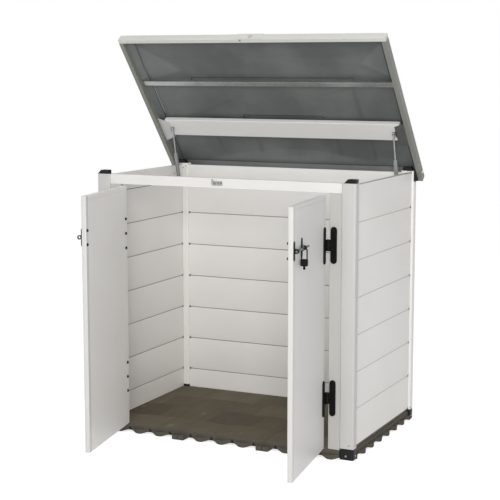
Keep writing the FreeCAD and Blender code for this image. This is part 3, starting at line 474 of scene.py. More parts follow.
# The other materials: what finish takes, in its order
finishRows = {
    "railStrip": ("darkRail", (0.080, 0.077, 0.066), (0.125, 0.121, 0.104),
                  0.5, 5, 0.55, 0.06, 400, 0.15, 0, 0.3),
    "blackPlastic": ("blackPlastic", (0.006, 0.006, 0.006), (0.014, 0.014, 0.013),
                     0.5, 14, 0.45, 0.15, 900, 0.3, 0, 0.22),
    "powderCoat": ("blackPowderCoat", (0.003, 0.003, 0.003), (0.007, 0.007, 0.007),
                   0.5, 20, 0.45, 0.12, 1500, 0.35, 0, 0.13),
    "lidCream": ("creamResin", (0.70, 0.705, 0.665), (0.62, 0.625, 0.58),
                 0.5, 3, 0.40, 0.1, 700, 0.12, 0, 0.5, "lid"),
    # The lid's side rails: the cream resin painted darker, as painted shade
    "lidSide": ("creamResinShaded", (0.245, 0.249, 0.220), (0.205, 0.209, 0.185),
                0.5, 3, 0.42, 0.1, 700, 0.12, 0, 0.4, "lid"),
    "zinc": ("zincPlate", (0.62, 0.62, 0.60), (0.46, 0.455, 0.43),
             0.6, 45, 0.26, 0.2, 700, 0.12, 1, 0.5, "none", (1, 1, 0.2)),
    "bolt": ("darkZinc", (0.17, 0.19, 0.18), (0.10, 0.112, 0.107),
             0.7, 60, 0.3, 0.2, 900, 0.15, 0.8, 0.5, "right_door"),
    "screw": ("screwSteel", (0.42, 0.42, 0.41), (0.27, 0.27, 0.26), 0.7, 80, 0.3, 0.2, 900, 0.1, 0.9),
    "chrome": ("polishedRod", (0.36, 0.36, 0.36), (0.28, 0.28, 0.28), 0.3, 30, 0.22, 0.1, 1200, 0.03, 1),
    "strutPaint": ("silverPaint", (0.27, 0.28, 0.28), (0.21, 0.22, 0.22),
                   0.4, 20, 0.32, 0.1, 1100, 0.1, 0.35, 0.5, "none", (1, 1, 1), 0.2),
    "bracketSteel": ("strutPlates", (0.11, 0.115, 0.11), (0.08, 0.083, 0.08),
                     0.6, 12, 0.4, 0.15, 500, 0.1, 0, 0.4, "lid"),
    "galvanised": ("galvanisedBar", (0.32, 0.33, 0.325), (0.45, 0.46, 0.45),
                   0.6, 9, 0.34, 0.14, 300, 0.12, 0.9, 0.5, "lid", (0.03, 1, 1)),
    "liner": ("darkLinerSheet", (0.104, 0.112, 0.113), (0.162, 0.171, 0.170),
              0.85, 4, 0.46, 0.10, 260, 0.12, 0, 0.5, "lid"),
    "tile": ("woodLookTile", (0.072, 0.060, 0.042), (0.218, 0.188, 0.138),
             0.5, 5, 0.72, 0.1, 500, 0.35, 0, 0.1, "none", (1, 1, 1), 0, 0.0008),
}
looks = {key: resin(*row) for key, row in resinRows.items()}
looks.update({key: finish(*row) for key, row in finishRows.items()})

# Painted shade in the board grooves: where the lines start, how wide and how dark, their colour, the wall's
# middle and the boards' ends
boardShadeLines = {
    "outer": {"Start": 0.052, "Width": 0.0024, "Groove Shade": 0.6},
    "inner": {"Start": 0.13025, "Width": 0.0028, "Groove Shade": 0.9},
    "color": (0.030, 0.027, 0.023), "middle": {"Y": 0.588, "X": 0.362}, "end": {"Y": 0.346, "X": 0.547},
}


# Boarded wall: painted shade in the V grooves; the outer and the inner face have their own lines
def boards(key, along):
    made = looks[key]
    tree = made["tree"]
    place = parted(tree, made["vector"])
    depth = maths(tree, "ABSOLUTE", place["X" if along == "Y" else "Y"])
    run = place["Y"] if along == "Y" else maths(tree, "ABSOLUTE", place["X"])
    color = made["cloud"]
    for face, side in (("outer", "GREATER_THAN"), ("inner", "LESS_THAN")):
        line = useGroup(tree, "groove", {
            "Height": place["Z"], "Along": run, "End": boardShadeLines["end"][along], **boardShadeLines[face],
        })
        seen = maths(tree, side, depth, boardShadeLines["middle"][along])
        share = maths(tree, "MULTIPLY", line.outputs["Mask"], seen)
        color = blended(tree, share, color, rgba(boardShadeLines["color"]))
    tree.links.new(color, made["base"])


# The notch colour is painted shade in the hollows between the tile's tabs
floorPrint = {
    "dark": finishRows["tile"][1], "light": finishRows["tile"][2], "length": 0.24, "width": 0.19,
    "rim": (0.104, 0.096, 0.078), "rimBelow": 0.0375, "notchShade": (0.004, 0.004, 0.003),
}


# Wood print on the top, a flat tone on the rim, and painted shade in the notches between the tabs, by the
# piece's shade
def woodTile():
    made = looks["tile"]
    tree = made["tree"]
    wood = useGroup(tree, "wood", {
        "Vector": made["vector"], "Dark": rgba(floorPrint["dark"]), "Light": rgba(floorPrint["light"]),
        "Length": floorPrint["length"], "Width": floorPrint["width"],
    }).outputs
    rim = maths(tree, "LESS_THAN", parted(tree, made["vector"])["Z"], floorPrint["rimBelow"])
    color = blended(tree, rim, wood["Color"], rgba(floorPrint["rim"]))
    tree.links.new(blended(tree, shadeOf(tree), color, rgba(floorPrint["notchShade"])), made["base"])
    tree.links.new(wood["Height"], made["relief"])


# Light tone of the left strut plate: painted light
bracketLitCream = (0.60, 0.595, 0.575)


# Plates of the lid's struts, one steel: the left plate is painted a light cream as painted light, the right
# one keeps the darker grey as painted shade
def bracketPlates():
    made = looks["bracketSteel"]
    tree = made["tree"]
    left = maths(tree, "LESS_THAN", parted(tree, made["vector"])["X"], 0.0)
    tree.links.new(blended(tree, left, made["cloud"], rgba(bracketLitCream)), made["base"])


zincCrystals = {"scale": 120.0, "share": 0.3, "color": (0.58, 0.59, 0.58)}


# Zinc with its large crystals: a flat tone for each Voronoi cell, over drawn streaks
def galvanised():
    made = looks["galvanised"]
    tree = made["tree"]
    cells = addNode(tree, "ShaderNodeTexVoronoi", {
        "Vector": made["vector"], "Scale": zincCrystals["scale"],
    })
    tone = addNode(tree, "ShaderNodeSeparateColor", {0: cells.outputs["Color"]}).outputs[0]
    share = maths(tree, "MULTIPLY", tone, zincCrystals["share"])
    tree.links.new(blended(tree, share, made["cloud"], rgba(zincCrystals["color"])), made["base"])


# Colours of the liner's painted shade and painted light
linerShadeColors = {"dark": (0.020, 0.022, 0.022), "light": (0.42, 0.44, 0.45)}


# The liner's sheet takes painted shade where its shade is over 0 and painted light where it is under 0
def linerSheet():
    made = looks["liner"]
    tree = made["tree"]
    shade = shadeOf(tree)
    color = blended(tree, shade, made["cloud"], rgba(linerShadeColors["dark"]))
    color = blended(tree, maths(tree, "MULTIPLY", shade, -1.0), color, rgba(linerShadeColors["light"]))
    tree.links.new(color, made["base"])


boards("sideWalls", "Y")
boards("backWall", "X")
woodTile()
bracketPlates()
galvanised()
linerSheet()
materials = {key: made["material"] for key, made in looks.items()}
print("stage: materials ready,", len(materials))


# Posts, walls, rails and front frame, with the small radii of drawn resin profiles
roundings = {
    "post": 0.0008, "wall": 0.0009, "frame": 0.0025, "panel": 0.0015, "stile": 0.0012, "cap": 0.0018,
    "foot": 0.0022, "postCap": 0.0022, "lidRail": 0.0030, "skin": 0.0025, "beam": 0.0040, "bar": 0.0012,
    "sheetMetal": 0.0006, "hinge": 0.0009, "hingeBlock": 0.0020, "lock": 0.0008, "hingeBolt": 0.0012,
    "padlock": 0.0014, "key": 0.0004,
}

softenAll({
    "post_front_left post_front_right": ("post", "posts"),
    "post_rear_left post_rear_right": ("post", "rearPosts"),
    "side_wall_left side_wall_right": ("wall", "sideWalls"), "back_wall": ("wall", "backWall"),
    "bottom_rail_left bottom_rail_right bottom_rail_back": ("panel", "railStrip"),
    "jamb_left jamb_right": ("frame", "jambs", 3), "lintel": ("frame", "lintel", 3),
    "post_feet": ("foot", "blackPlastic", 3), "post_caps": ("postCap", "blackPlastic", 3),
})
print("stage: posts, walls and frame")

# Floor tiles: a plate over a skirt whose tabs stand out, and whose lower edge arches up between the tabs
tileShape = {
    "plate": (0.600, 0.384), "seam": (0.204, 0.0), "gap": 0.0002, "foot": (0.5466, 0.3456), "round": 0.0016,
    "bend": 0.3, "top": 0.038, "ledge": 0.020, "lip": 0.0012, "out": (0.012, 0.017), "squareOut": 0.029,
    "squareHalf": 0.031, "squareEdge": 0.002, "pitch": (0.102, 0.10025), "shift": (0.0, 0.5), "tip": 0.005,
    "root": 0.046, "arch": 0.0085, "undercut": 0.030, "notchShade": 0.0062, "notchTop": 0.0265, "points": 150,
    "sharp": 30,
}


# One side of a tile's rim along an axis: places, way out, and on an outer side how far the tab stands out,
# how high the arch is and how dark the painted shade in the notch is. Tab: 3q^2 - 2q^3, q = (root -
# distance)/(root - tip)
def tileSide(start, end, fixed, axis, sign, outer):
    t = tileShape
    run = np.linspace(start, end, t["points"])
    place = np.empty((len(run), 2))
    place[:, axis] = run
    place[:, 1 - axis] = fixed
    way = np.zeros_like(place)
    way[:, 1 - axis] = sign
    pitch = t["pitch"][axis]
    away = np.abs((run / pitch + t["shift"][axis] + 0.5) % 1 - 0.5) * pitch
    q = np.clip((t["root"] - away) / (t["root"] - t["tip"]), 0, 1)
    rise = q * q * (3 - 2 * q)
    beside = t["squareHalf"] - np.abs(np.abs(run) - t["seam"][0])
    square = np.clip(beside / t["squareEdge"], 0, 1) * (axis == 0)
    stand = np.maximum(t["out"][1 - axis] * rise, t["squareOut"] * square) * outer
    arch = t["arch"] * (1 - np.maximum(rise, square)) * outer
    notchShade = hill(pitch / 2 - away, t["notchShade"]) * outer
    return place, way, stand, arch, notchShade, np.full(len(run), t["undercut"] * outer)


# The rim goes round four sides, and round the post's foot where two outer sides meet. Each layer is the
# rim moved out or in and set at a height; the first and last layers close it at the tile's middle
def floorTile(name, low, high, outer):
    t = tileShape
    corners = ((low[0], low[1]), (high[0], low[1]), (high[0], high[1]), (low[0], high[1]))
    rims = []
    for side in range(4):
        axis = side % 2
        ahead = 1 if side < 2 else -1
        after = (side + 1) % 4
        start = corners[side][axis] + ahead * t["round"]
        end = corners[after][axis] - ahead * t["round"]
        if outer[side] and outer[side - 1]:
            start = math.copysign(t["foot"][axis], start)
        if outer[side] and outer[after]:
            end = math.copysign(t["foot"][axis], end)
        rims.append(tileSide(start, end, corners[side][1 - axis], axis, (-1, 1, 1, -1)[side], outer[side]))
        if outer[side] and outer[after]:
            turn = np.copysign(t["foot"], corners[after])[None]
            rims.append((turn, np.zeros((1, 2))) + (np.zeros(1),) * 4)
    place, way, stand, arch, notchShade, under = (np.concatenate(parts) for parts in zip(*rims))
    middle = np.zeros_like(place) + (np.array(low) + np.array(high)) / 2
    none = np.zeros(len(place))
    r, top, ledge, lip = t["round"], t["top"], t["ledge"], t["ledge"] - t["lip"]
    bend = t["bend"] * r
    layers = (
        (middle, 0, top, none), (place, -r, top, none), (place, -bend, top - bend, none),
        (place, 0, top - r, none), (place, 0, t["notchTop"], none), (place, 0, ledge, notchShade),
        (place, np.maximum(stand - t["lip"], 0), ledge, notchShade), (place, stand, lip, notchShade),
        (place, stand, arch, notchShade), (place, -under, arch, notchShade), (place, -under, 0, none),
        (middle, 0, 0, none),
    )
    points = [np.column_stack([at + way * (none + out)[:, None], none + height])
              for at, out, height, _ in layers]
    faces = gridQuads(len(layers), len(place), wrapped=True)
    shade = np.concatenate([dark for _, _, _, dark in layers])
    makePiece("floor_print_" + name, points, faces, "root", "tile", "floor_tile_" + name,
              t["sharp"], shade)


plateX, plateY = tileShape["plate"]
seamX, seamY = tileShape["seam"]
gap = tileShape["gap"]
left, middle, right = (-plateX, -seamX - gap), (gap - seamX, seamX - gap), (seamX + gap, plateX)
for row, y0, y1 in (("front", -plateY, seamY - gap), ("rear", seamY + gap, plateY)):
    for column, (x0, x1) in (("left", left), ("middle", middle), ("right", right)):
        outer = (row == "front", column == "right", row == "rear", column == "left")
        floorTile(row + "_" + column, (x0, y0), (x1, y1), outer)
print("stage: floor tiles")


# Doors
for side in ("left", "right"):
    softenAll({
        "door_panel_" + side: ("panel", side + "Door"), "door_stile_" + side: ("stile", side + "Stile"),
        "door_top_cap_" + side: ("cap", side + "Door", 3),
    })

hardware = {
    "doorBack": -0.359, "leafFront": -0.385, "latchFront": -0.3811, "hingeHeights": (0.899, 0.258),
    "frameX": 0.514, "leafX": 0.471, "leafSteps": (-0.064, 0, 0.064), "latchHeight": 0.938,
    "latchX": {"right": (0.0115, 0.1195), "left": (-0.0105,)}, "latchSteps": (-0.029, 0.029),
    "screwSize": 0.9,
}


# Places in a hinge leaf at x, and in the slide bolt's plates on one door
def leafPlaces(x, y):
    return [(x, y, z + step) for z in hardware["hingeHeights"] for step in hardware["leafSteps"]]


def latchPlaces(side, y):
    return [(x, y, hardware["latchHeight"] + step) for x in hardware["latchX"][side]
            for step in hardware["latchSteps"]]


plugDome = {"radius": 0.0068, "rise": 0.0066, "steps": 8, "sides": 24, "sunk": 0.0002}


def doorPlugs(side, sign):
    d = plugDome
    low = -d["sunk"]
    profile = [(0, low), (d["radius"], low)] + domeProfile(d["radius"], 0, d["rise"], d["steps"])
    back = hardware["doorBack"]
    centres = leafPlaces(sign * hardware["leafX"], back) + latchPlaces(side, back)
    points, faces = revolved(profile, centres, (0, 1, 0), d["sides"])
    makePiece("door_plugs_dome_" + side, points, faces, side + "_door", "blackPlastic",
              "door_plugs_" + side)


doorPlugs("right", 1)
doorPlugs("left", -1)
print("stage: doors and their plugs")


# Hinges: leaves from the solids, pins with a domed head
softenAll({
    "hinge_frame_leaves door_hinge_leaves_right door_hinge_leaves_left": ("hinge", "powderCoat", 2, 40),
})

pinShape = {
    "radius": 0.0030, "headRadius": 0.0048, "half": 0.0235, "headRise": 0.0022, "headStart": 0.00002,
    "steps": 6, "sides": 28,
}


def hingePins():
    p = pinShape
    x, y, _ = restPlaces["right_door"]["centre"]
    profile = [(0, -p["half"]), (p["radius"], -p["half"]), (p["radius"], p["half"]),
               (p["headRadius"], p["half"] + p["headStart"])]
    profile += domeProfile(p["headRadius"], p["half"], p["headRise"], p["steps"])
    centres = [(sign * x, y, z) for sign in (-1, 1) for z in hardware["hingeHeights"]]
    points, faces = revolved(profile, centres, (0, 0, 1), p["sides"])
    makePiece("hinge_pins_domed", points, faces, "root", "powderCoat", "hinge_pins")


hingePins()

screwShape = {
    "radius": 0.0042, "rise": 0.0020, "recess": 0.0011, "slot": 0.0007, "rings": 12, "sides": 36,
    "middle": 0.08, "flat": 0.9, "soft": 1.6, "reach": 0.72, "fade": 8, "skirt": 0.0002, "sharp": 30,
}


# Screw head on a polar grid: height = rise*sqrt(1 - flat*(r/R)^2) - recess*cross, where cross fades from
# 1 to 0 past the slot's half width in |x| or |y| and past the reach in r/R
def screwHeads(name, centres, axis, body, look, slotName, size=1.0):
    c = screwShape
    along, across, up = crossways(axis)
    radius = c["radius"] * size
    r = np.concatenate([[0], np.linspace(c["middle"], 1, c["rings"])]) * radius
    t = np.linspace(0, 2 * np.pi, c["sides"], endpoint=False) + np.pi / 4
    rr, tt = np.meshgrid(r, t, indexing="ij")
    x = rr * np.cos(tt)
    y = rr * np.sin(tt)
    height = c["rise"] * size * np.sqrt(1 - c["flat"] * (rr / radius) ** 2)
    near = np.minimum(np.abs(x), np.abs(y)) / (c["slot"] * size)
    cross = np.clip(c["soft"] - near, 0, 1) * np.clip((c["reach"] - rr / radius) * c["fade"], 0, 1)
    height = height - c["recess"] * size * cross
    top = x[..., None] * across + y[..., None] * up + height[..., None] * along
    rim = top[-1:] - height[-1:, :, None] * along - c["skirt"] * along
    closing = np.zeros_like(rim) - c["skirt"] * along
    points, faces = copied(np.concatenate([top, rim, closing]), centres)
    makePiece(name, points, faces, body, look, sharp=c["sharp"])


# Black screws in what faces the front
def blackScrews(name, places, body, size=1.0):
    screwHeads(name, places, (0, -1, 0), body, "powderCoat", "black_metal", size)


face, frameX, leafX = hardware["leafFront"], hardware["frameX"], hardware["leafX"]
blackScrews("hinge_screws_frame", leafPlaces(-frameX, face) + leafPlaces(frameX, face), "root")
blackScrews("hinge_screws_right", leafPlaces(leafX, face), "right_door")
blackScrews("hinge_screws_left", leafPlaces(-leafX, face), "left_door")
print("stage: hinges")


# Slide bolt, staple and padlock
softenAll({
    "latch_guides latch_staple": ("sheetMetal", "powderCoat", 2, 40),
    "latch_bolt": ("sheetMetal", "bolt", 2, 40),
})
for name, side in (("latch_screws", "right"), ("staple_screws", "left")):
    blackScrews(name, latchPlaces(side, hardware["latchFront"]), side + "_door", hardware["screwSize"])

shackleShape = {"x": 0.0995, "innerY": -0.3855, "outerY": -0.4075, "top": 0.9360, "bottom": 0.889,
                "bend": 0.005, "radius": 0.0025, "steps": 10, "legSteps": 8, "sides": 20}


# Shackle path: up the inner leg, a quarter turn, across, a quarter turn and down the outer leg
def shacklePath():
    s = shackleShape
    a = np.linspace(0, np.pi / 2, s["steps"])
    inner = s["innerY"] - s["bend"] * (1 - np.cos(a))
    outer = s["outerY"] + s["bend"] * (1 - np.sin(a))
    legs = np.linspace(s["bottom"], s["top"] - s["bend"], s["legSteps"])[:-1]
    y = [np.full(len(legs), s["innerY"]), inner, outer, np.full(len(legs), s["outerY"])]
    z = [legs, s["top"] - s["bend"] * (1 - np.sin(a)), s["top"] - s["bend"] * (1 - np.cos(a)), legs[::-1]]
    y, z = np.concatenate(y), np.concatenate(z)
    return np.column_stack([np.full(len(y), s["x"]), y, z])


points, faces = wire(shacklePath(), shackleShape["radius"], (1, 0, 0), shackleShape["sides"])
makePiece("padlock_shackle_round", points, faces, "padlock", "powderCoat", "padlock_shackle")
softenAll({"padlock_body": ("padlock", "powderCoat", 3, 40), "padlock_key": ("key", "powderCoat", 2, 40)})
print("stage: slide bolt and padlock")


# Lid: rails, skin, beam, bar and brackets from the solids
softenAll({
    "lid_front_rail lid_rear_flange": ("lidRail", "lidCream", 3),
    # The side rails take the darker copy of the cream resin: painted shade
    "lid_side_rail_left lid_side_rail_right": ("lidRail", "lidSide", 3),
    "lid_skin": ("skin", "lidCream", 3, 8), "lid_beam": ("beam", "beam", 3),
    "lid_cross_bar": ("bar", "galvanised"), "lid_strut_brackets": ("sheetMetal", "bracketSteel"),
    "lid_lock_plate": ("lock", "lidCream", 2, 40), "lid_lock_barrel": ("lock", "zinc", 2, 40),
    "lid_hinge_blocks": ("hingeBlock", "blackPlastic", 3), "lid_hinge_bolts": ("hingeBolt", "zinc", 3, 40),
    "lintel_keeper": ("sheetMetal", "screw", 2, 40),
})
keeperScrews = {"centres": [(x, -0.383, 1.133) for x in (-0.014, -0.001)], "axis": (0, -1, 0), "size": 0.8}
screwHeads("keeper_screws", body="root", look="bolt", slotName="bright_steel", **keeperScrews)

linerShape = {
    "side": 0.6197, "rear": 0.0093, "front": 0.7997, "edge": 0.0317, "bevelRun": 0.022, "bevelRise": 0.020,
    "crownRun": 0.108, "crownRise": 0.008, "thickness": 0.0018, "lowered": 0.0052, "insideRun": 0.05,
    "hingeY": 0.403, "base": 1.140, "hemRun": 0.0255, "hemDepth": 0.0014, "hemWidth": 0.0022,
    "slots": ({"x": 0.021, "s": 0.538, "width": 0.036, "length": 0.798},
              {"x": 0.021, "s": 0.313, "width": 0.036, "length": 0.398}),
    "slotDepth": 0.0025, "slotEdge": 0.003, "slotCorner": 0.006, "slotLip": 0.0006, "slotLipWidth": 0.004,
    "creases": (((0.407, 0.50), (0.409, 0.28), 0.0022), ((-0.370, 0.22), (-0.350, 0.10), 0.0018),
                ((-0.145, 0.21), (-0.149, 0.11), 0.0022), ((0.256, 0.21), (0.252, 0.10), 0.0016),
                ((0.425, 0.21), (0.417, 0.07), 0.0020), ((-0.40, 0.34), (-0.15, 0.45), 0.0012),
                ((-0.20, 0.43), (-0.06, 0.355), 0.0014), ((0.30, 0.515), (0.44, 0.566), -0.0014),
                ((0.25, 0.455), (0.39, 0.492), -0.0012), ((-0.57, 0.28), (-0.40, 0.345), 0.0010)),
    "creaseWidth": 0.010,
    "facets": (((-0.600, 0.765), (-0.407, 0.598), (-0.612, 0.532), 0.055),
               ((0.600, 0.765), (0.470, 0.640), (0.612, 0.560), 0.030)),
    "arch": {"top": 0.122, "drop": 0.40, "slope": 0.05},
    "ripple": 0.0007, "rippleWaves": ((9, 5), (-3, 11)), "rippleRun": 0.1, "sharp": 60,
}
# Amounts of painted shade (hem, slot and crease lines) and painted light (facets, arch field, flange strip)
# on the liner
linerShading = {
    "hem": 0.75, "slot": 0.95, "lineWidth": 0.0026, "crease": 90, "creaseAside": 0.004,
    "creaseWidth": 0.006, "facet": 0.11, "arch": 0.07, "edge": 0.006,
    "strip": {"from": 0.345, "to": 0.530, "run": 0.030, "width": 0.0024},
}
linerGrid = {"x": 0.0085, "s": 0.007, "slotStep": 0.0016, "slotLines": 4, "hemStep": 0.002, "hemLines": 20}


# Distance from a place to the sheet's nearest edge
def edgeAway(x, s):
    c = linerShape
    return np.minimum(c["side"] - np.abs(x), np.minimum(s - c["rear"], c["front"] - s))


# Distance inside a facet to the nearer of its two inner sides, below 0 outside
def facetAway(x, s, corner, apex, foot):
    return np.minimum(sideOf(x, s, corner, apex, foot), sideOf(x, s, foot, apex, corner))


# Distance inside the arch: top - drop*x^2 - s
def archAway(x, s):
    return linerShape["arch"]["top"] - linerShape["arch"]["drop"] * x ** 2 - s


# Height over the sheet: ramps of d, the distance to the nearest edge, then what lies in the sheet.
# Slot: a rounded rectangle's depth, by the distance to its edge. Crease: depth*hill over the distance to
# its line. Facet and arch: slope*distance inside. Ripple: the product of two sine waves
def linerHeight(x, s):
    c = linerShape
    d = edgeAway(x, s)
    height = c["edge"] + c["bevelRise"] * np.clip(d / c["bevelRun"], 0, 1)
    height = height + c["crownRise"] * np.clip((d - c["bevelRun"]) / c["crownRun"], 0, 1)
    inside = np.clip(d / c["insideRun"], 0, 1)
    hem = c["hemDepth"] * hill(d - c["hemRun"], c["hemWidth"])
    height = height - c["lowered"] * inside + hem
    for slot in c["slots"]:
        away = roundedAway(x, s, slot)
        lip = c["slotLip"] * hill(away, c["slotLipWidth"])
        height = height + c["slotDepth"] * np.clip(-away / c["slotEdge"], 0, 1) - lip
    for start, end, depth in c["creases"]:
        height = height - depth * hill(lineAway(x, s, start, end), c["creaseWidth"]) * inside
    for corner, apex, foot, slope in c["facets"]:
        height = height - slope * np.clip(facetAway(x, s, corner, apex, foot), 0, 1)
    height = height - c["arch"]["slope"] * np.clip(archAway(x, s), 0, 1) * inside
    first, second = (np.sin(a * x + b * s) for a, b in c["rippleWaves"])
    return height + c["ripple"] * first * second * np.clip(d / c["rippleRun"], 0, 1)


# Distance to a slot's edge, below 0 inside: |max(over, 0)| + min(max(overX, overS), 0) - corner
def roundedAway(x, s, slot):
    corner = linerShape["slotCorner"]
    overX = np.abs(x - slot["x"]) - slot["length"] / 2 + corner
    overS = np.abs(s - slot["s"]) - slot["width"] / 2 + corner
    outside = np.hypot(np.maximum(overX, 0), np.maximum(overS, 0))
    return outside + np.minimum(np.maximum(overX, overS), 0) - corner


# Painted light and shade on the sheet, over 0 darker and under 0 lighter. Painted shade: hills at the hem
# and the slots' edges,
# and beside the creases. Painted light: the facets, the field under the arch, and a strip beside the left
# rail for the edge flange
def linerPaintedShade(x, s):
    c = linerShading
    dark = c["hem"] * hill(edgeAway(x, s) - linerShape["hemRun"], c["lineWidth"])
    for slot in linerShape["slots"]:
        dark = np.maximum(dark, c["slot"] * hill(roundedAway(x, s, slot), c["lineWidth"]))
    for start, end, depth in linerShape["creases"]:
        beside = hill(lineAway(x, s, start, end) - c["creaseAside"], c["creaseWidth"])
        dark = np.maximum(dark, c["crease"] * abs(depth) * beside)
    for corner, apex, foot, _ in linerShape["facets"]:
        dark = dark - c["facet"] * np.clip(facetAway(x, s, corner, apex, foot) / c["edge"], 0, 1)
    dark = dark - c["arch"] * np.clip(archAway(x, s) / c["edge"], 0, 1)
    strip = c["strip"]
    along = (s > strip["from"]) & (s < strip["to"])
    return dark - along * hill(x + linerShape["side"] - strip["run"], strip["width"])


# Distance to the line between two points, ends included
def lineAway(x, s, start, end):
    run = np.array(end) - np.array(start)
    share = np.clip(((x - start[0]) * run[0] + (s - start[1]) * run[1]) / (run @ run), 0, 1)
    return np.hypot(x - start[0] - share * run[0], s - start[1] - share * run[1])


# Distance from the line between two points, over 0 on the third point's side: (p - a) . unit normal
def sideOf(x, s, first, second, inner):
    run = np.array(second) - np.array(first)
    normal = np.array((-run[1], run[0])) / np.hypot(*run)
    if normal @ (np.array(inner) - np.array(first)) < 0:
        normal = -normal
    return (x - first[0]) * normal[0] + (s - first[1]) * normal[1]


# Grid lines every coarse step, with fine ones round each mark and at both ends
def gridLines(start, end, coarse, marks):
    g = linerGrid
    fine = np.arange(-g["slotLines"], g["slotLines"] + 1) * g["slotStep"]
    hem = np.arange(0, g["hemLines"]) * g["hemStep"]
    close = np.concatenate([mark + fine for mark in marks] + [start + hem, end - hem])
    spread = np.linspace(start, end, int((end - start) / coarse))
    spread = spread[np.abs(spread[:, None] - close[None]).min(1) > coarse / 3]
    return np.unique(np.concatenate([spread, close]).round(5))


# Two sheets of one grid, and a wall of quads between their borders
def liner():
    c = linerShape
    slotX = [slot["x"] + sign * slot["length"] / 2 for slot in c["slots"] for sign in (-1, 1)]
    slotS = [slot["s"] + sign * slot["width"] / 2 for slot in c["slots"] for sign in (-1, 1)]
    x = gridLines(-c["side"], c["side"], linerGrid["x"], slotX)
    s = gridLines(c["rear"], c["front"], linerGrid["s"], slotS)
    ss, xx = np.meshgrid(s, x, indexing="ij")
    points = np.stack([xx, c["hingeY"] - ss, c["base"] + linerHeight(xx, ss)], -1)
    above = points + np.array((0, 0, c["thickness"]))
    low = gridQuads(len(s), len(x))
    count = len(s) * len(x)
    line = np.arange(count).reshape(len(s), len(x))
    border = np.concatenate([line[0], line[1:, -1], line[-1, -2::-1], line[-2:0:-1, 0]])
    after = np.roll(border, -1)
    wall = np.stack([border, after, after + count, border + count], -1)
    faces = np.concatenate([low, low + count, wall])
    shade = np.tile(linerPaintedShade(xx, ss).ravel(), 2)
    makePiece("lid_liner_sheet", np.stack([points, above]), faces, "lid", "liner",
              "lid_liner", c["sharp"], shade)


liner()
print("stage: lid")


# Gas struts, drawn along their line at rest: tube with rolled ends, polished rod, end eyes
strutShape = {
    "x": 0.556, "foot": (0.270, 1.085), "head": (0.2132, 1.3282), "neckStart": 0.004, "tubeRadius": 0.009,
    "tubeStart": 0.013, "tubeEnd": 0.130, "curve": 0.0028, "curveSteps": 6, "tubeSides": 36,
    "rodRadius": 0.004, "bore": 0.0043, "boreStart": 0.019, "rodStart": 0.126, "rodSides": 32,
    "footEye": {"outer": 0.0075, "inner": 0.00405, "half": 0.0052},
    "headEye": {"outer": 0.007, "inner": 0.0, "half": 0.0052},
    "stud": {"radius": 0.004, "length": 0.0095, "sides": 28},
}


# The tube: a neck, a side with a quarter round at both ends, and a bore for the rod
def tubeProfile():
    s = strutShape
    neck = [(0, s["neckStart"]), (s["rodRadius"], s["neckStart"]), (s["rodRadius"], s["tubeStart"])]
    side = sideProfile(s["tubeRadius"], s["tubeStart"], s["tubeEnd"], s["curve"], s["curveSteps"])
    return neck + side + [(s["bore"], s["tubeEnd"]), (s["bore"], s["boreStart"]), (0, s["boreStart"])]


def strutPieces(side, sign):
    s = strutShape
    foot = np.array((sign * s["x"], *s["foot"]))
    head = np.array((sign * s["x"], *s["head"]))
    length = np.linalg.norm(head - foot)
    along = (head - foot) / length
    tube = revolved(tubeProfile(), [foot], along, s["tubeSides"])
    points, faces = joined(tube, ringOf(foot, **s["footEye"]))
    body = "strut_cylinder_" + side
    makePiece("strut_tube_" + side, points, faces, body, "strutPaint", body)
    shaft = revolved(barProfile(s["rodRadius"], s["rodStart"], length), [foot], along, s["rodSides"])
    stud = s["stud"]
    pin = revolved(barProfile(stud["radius"], 0, stud["length"]), [head], (sign, 0, 0), stud["sides"])
    points, faces = joined(shaft, ringOf(head, **s["headEye"]), pin)
    body = "strut_rod_" + side
    makePiece("strut_rod_round_" + side, points, faces, body, "chrome", body)


ringShape = {"rim": 0.0008, "steps": 4, "sides": 36}


# A short collar along X with rounded rims and, where the inner radius is over 0, a hole
def ringOf(centre, outer, inner, half):
    side = sideProfile(outer, -half, half, ringShape["rim"], ringShape["steps"])
    profile = [(inner, -half)] + side + [(inner, half)]
    if inner > 0:
        profile.append((inner, -half))
    return revolved(profile, [centre], (1, 0, 0), ringShape["sides"])


strutPieces("left", -1)
strutPieces("right", 1)
softened("strut_wall_brackets", "sheetMetal", "zinc", 2, 40)
print("stage: gas struts")


# Screws in the feet and at the foot and head of the posts: centres, way they face and size
endPlaces = [(sign * x, z) for sign in (-1, 1) for x, z in ((0.576, 0.017), (0.590, 0.063))]
sidePlaces = [(sign * y, z) for sign in (-1, 1) for y, z in ((0.360, 0.017), (0.352, 0.058))]
innerPlaces = ((0.570, 1.134), (0.553, 1.141), (-0.5565, 1.141), (-0.573, 1.134))
postScrews = {
    "front": ([(x, -0.384, z) for x, z in endPlaces], (0, -1, 0), 1.0),
    "back": ([(x, 0.384, z) for x, z in endPlaces], (0, 1, 0), 1.0),
    "right": ([(0.610, y, z) for y, z in sidePlaces], (1, 0, 0), 1.0),
    "left": ([(-0.610, y, z) for y, z in sidePlaces], (-1, 0, 0), 1.0),
    "inner": ([(x, 0.346, z) for x, z in innerPlaces], (0, -1, 0), 0.7),
}
for name, (centres, axis, size) in postScrews.items():
    screwHeads("post_screws_" + name, centres, axis, "root", "screw", "bright_steel", size)
print("stage: screws")


# Floor under the box, lamps and camera
stageLook = {
    "size": 30.0, "lines": 5, "below": 0.0005, "color": (0.80, 0.80, 0.80), "rough": 0.9, "glow": 0.66,
    "ambient": 0.42,
}


# 1 for rays from the camera, and for glossy and transmission rays, else 0
def seenRays(tree):
    path = addNode(tree, "ShaderNodeLightPath")
    first = maths(tree, "MAXIMUM", path.outputs["Is Camera Ray"], path.outputs["Is Glossy Ray"])
    return maths(tree, "MAXIMUM", first, path.outputs["Is Transmission Ray"])


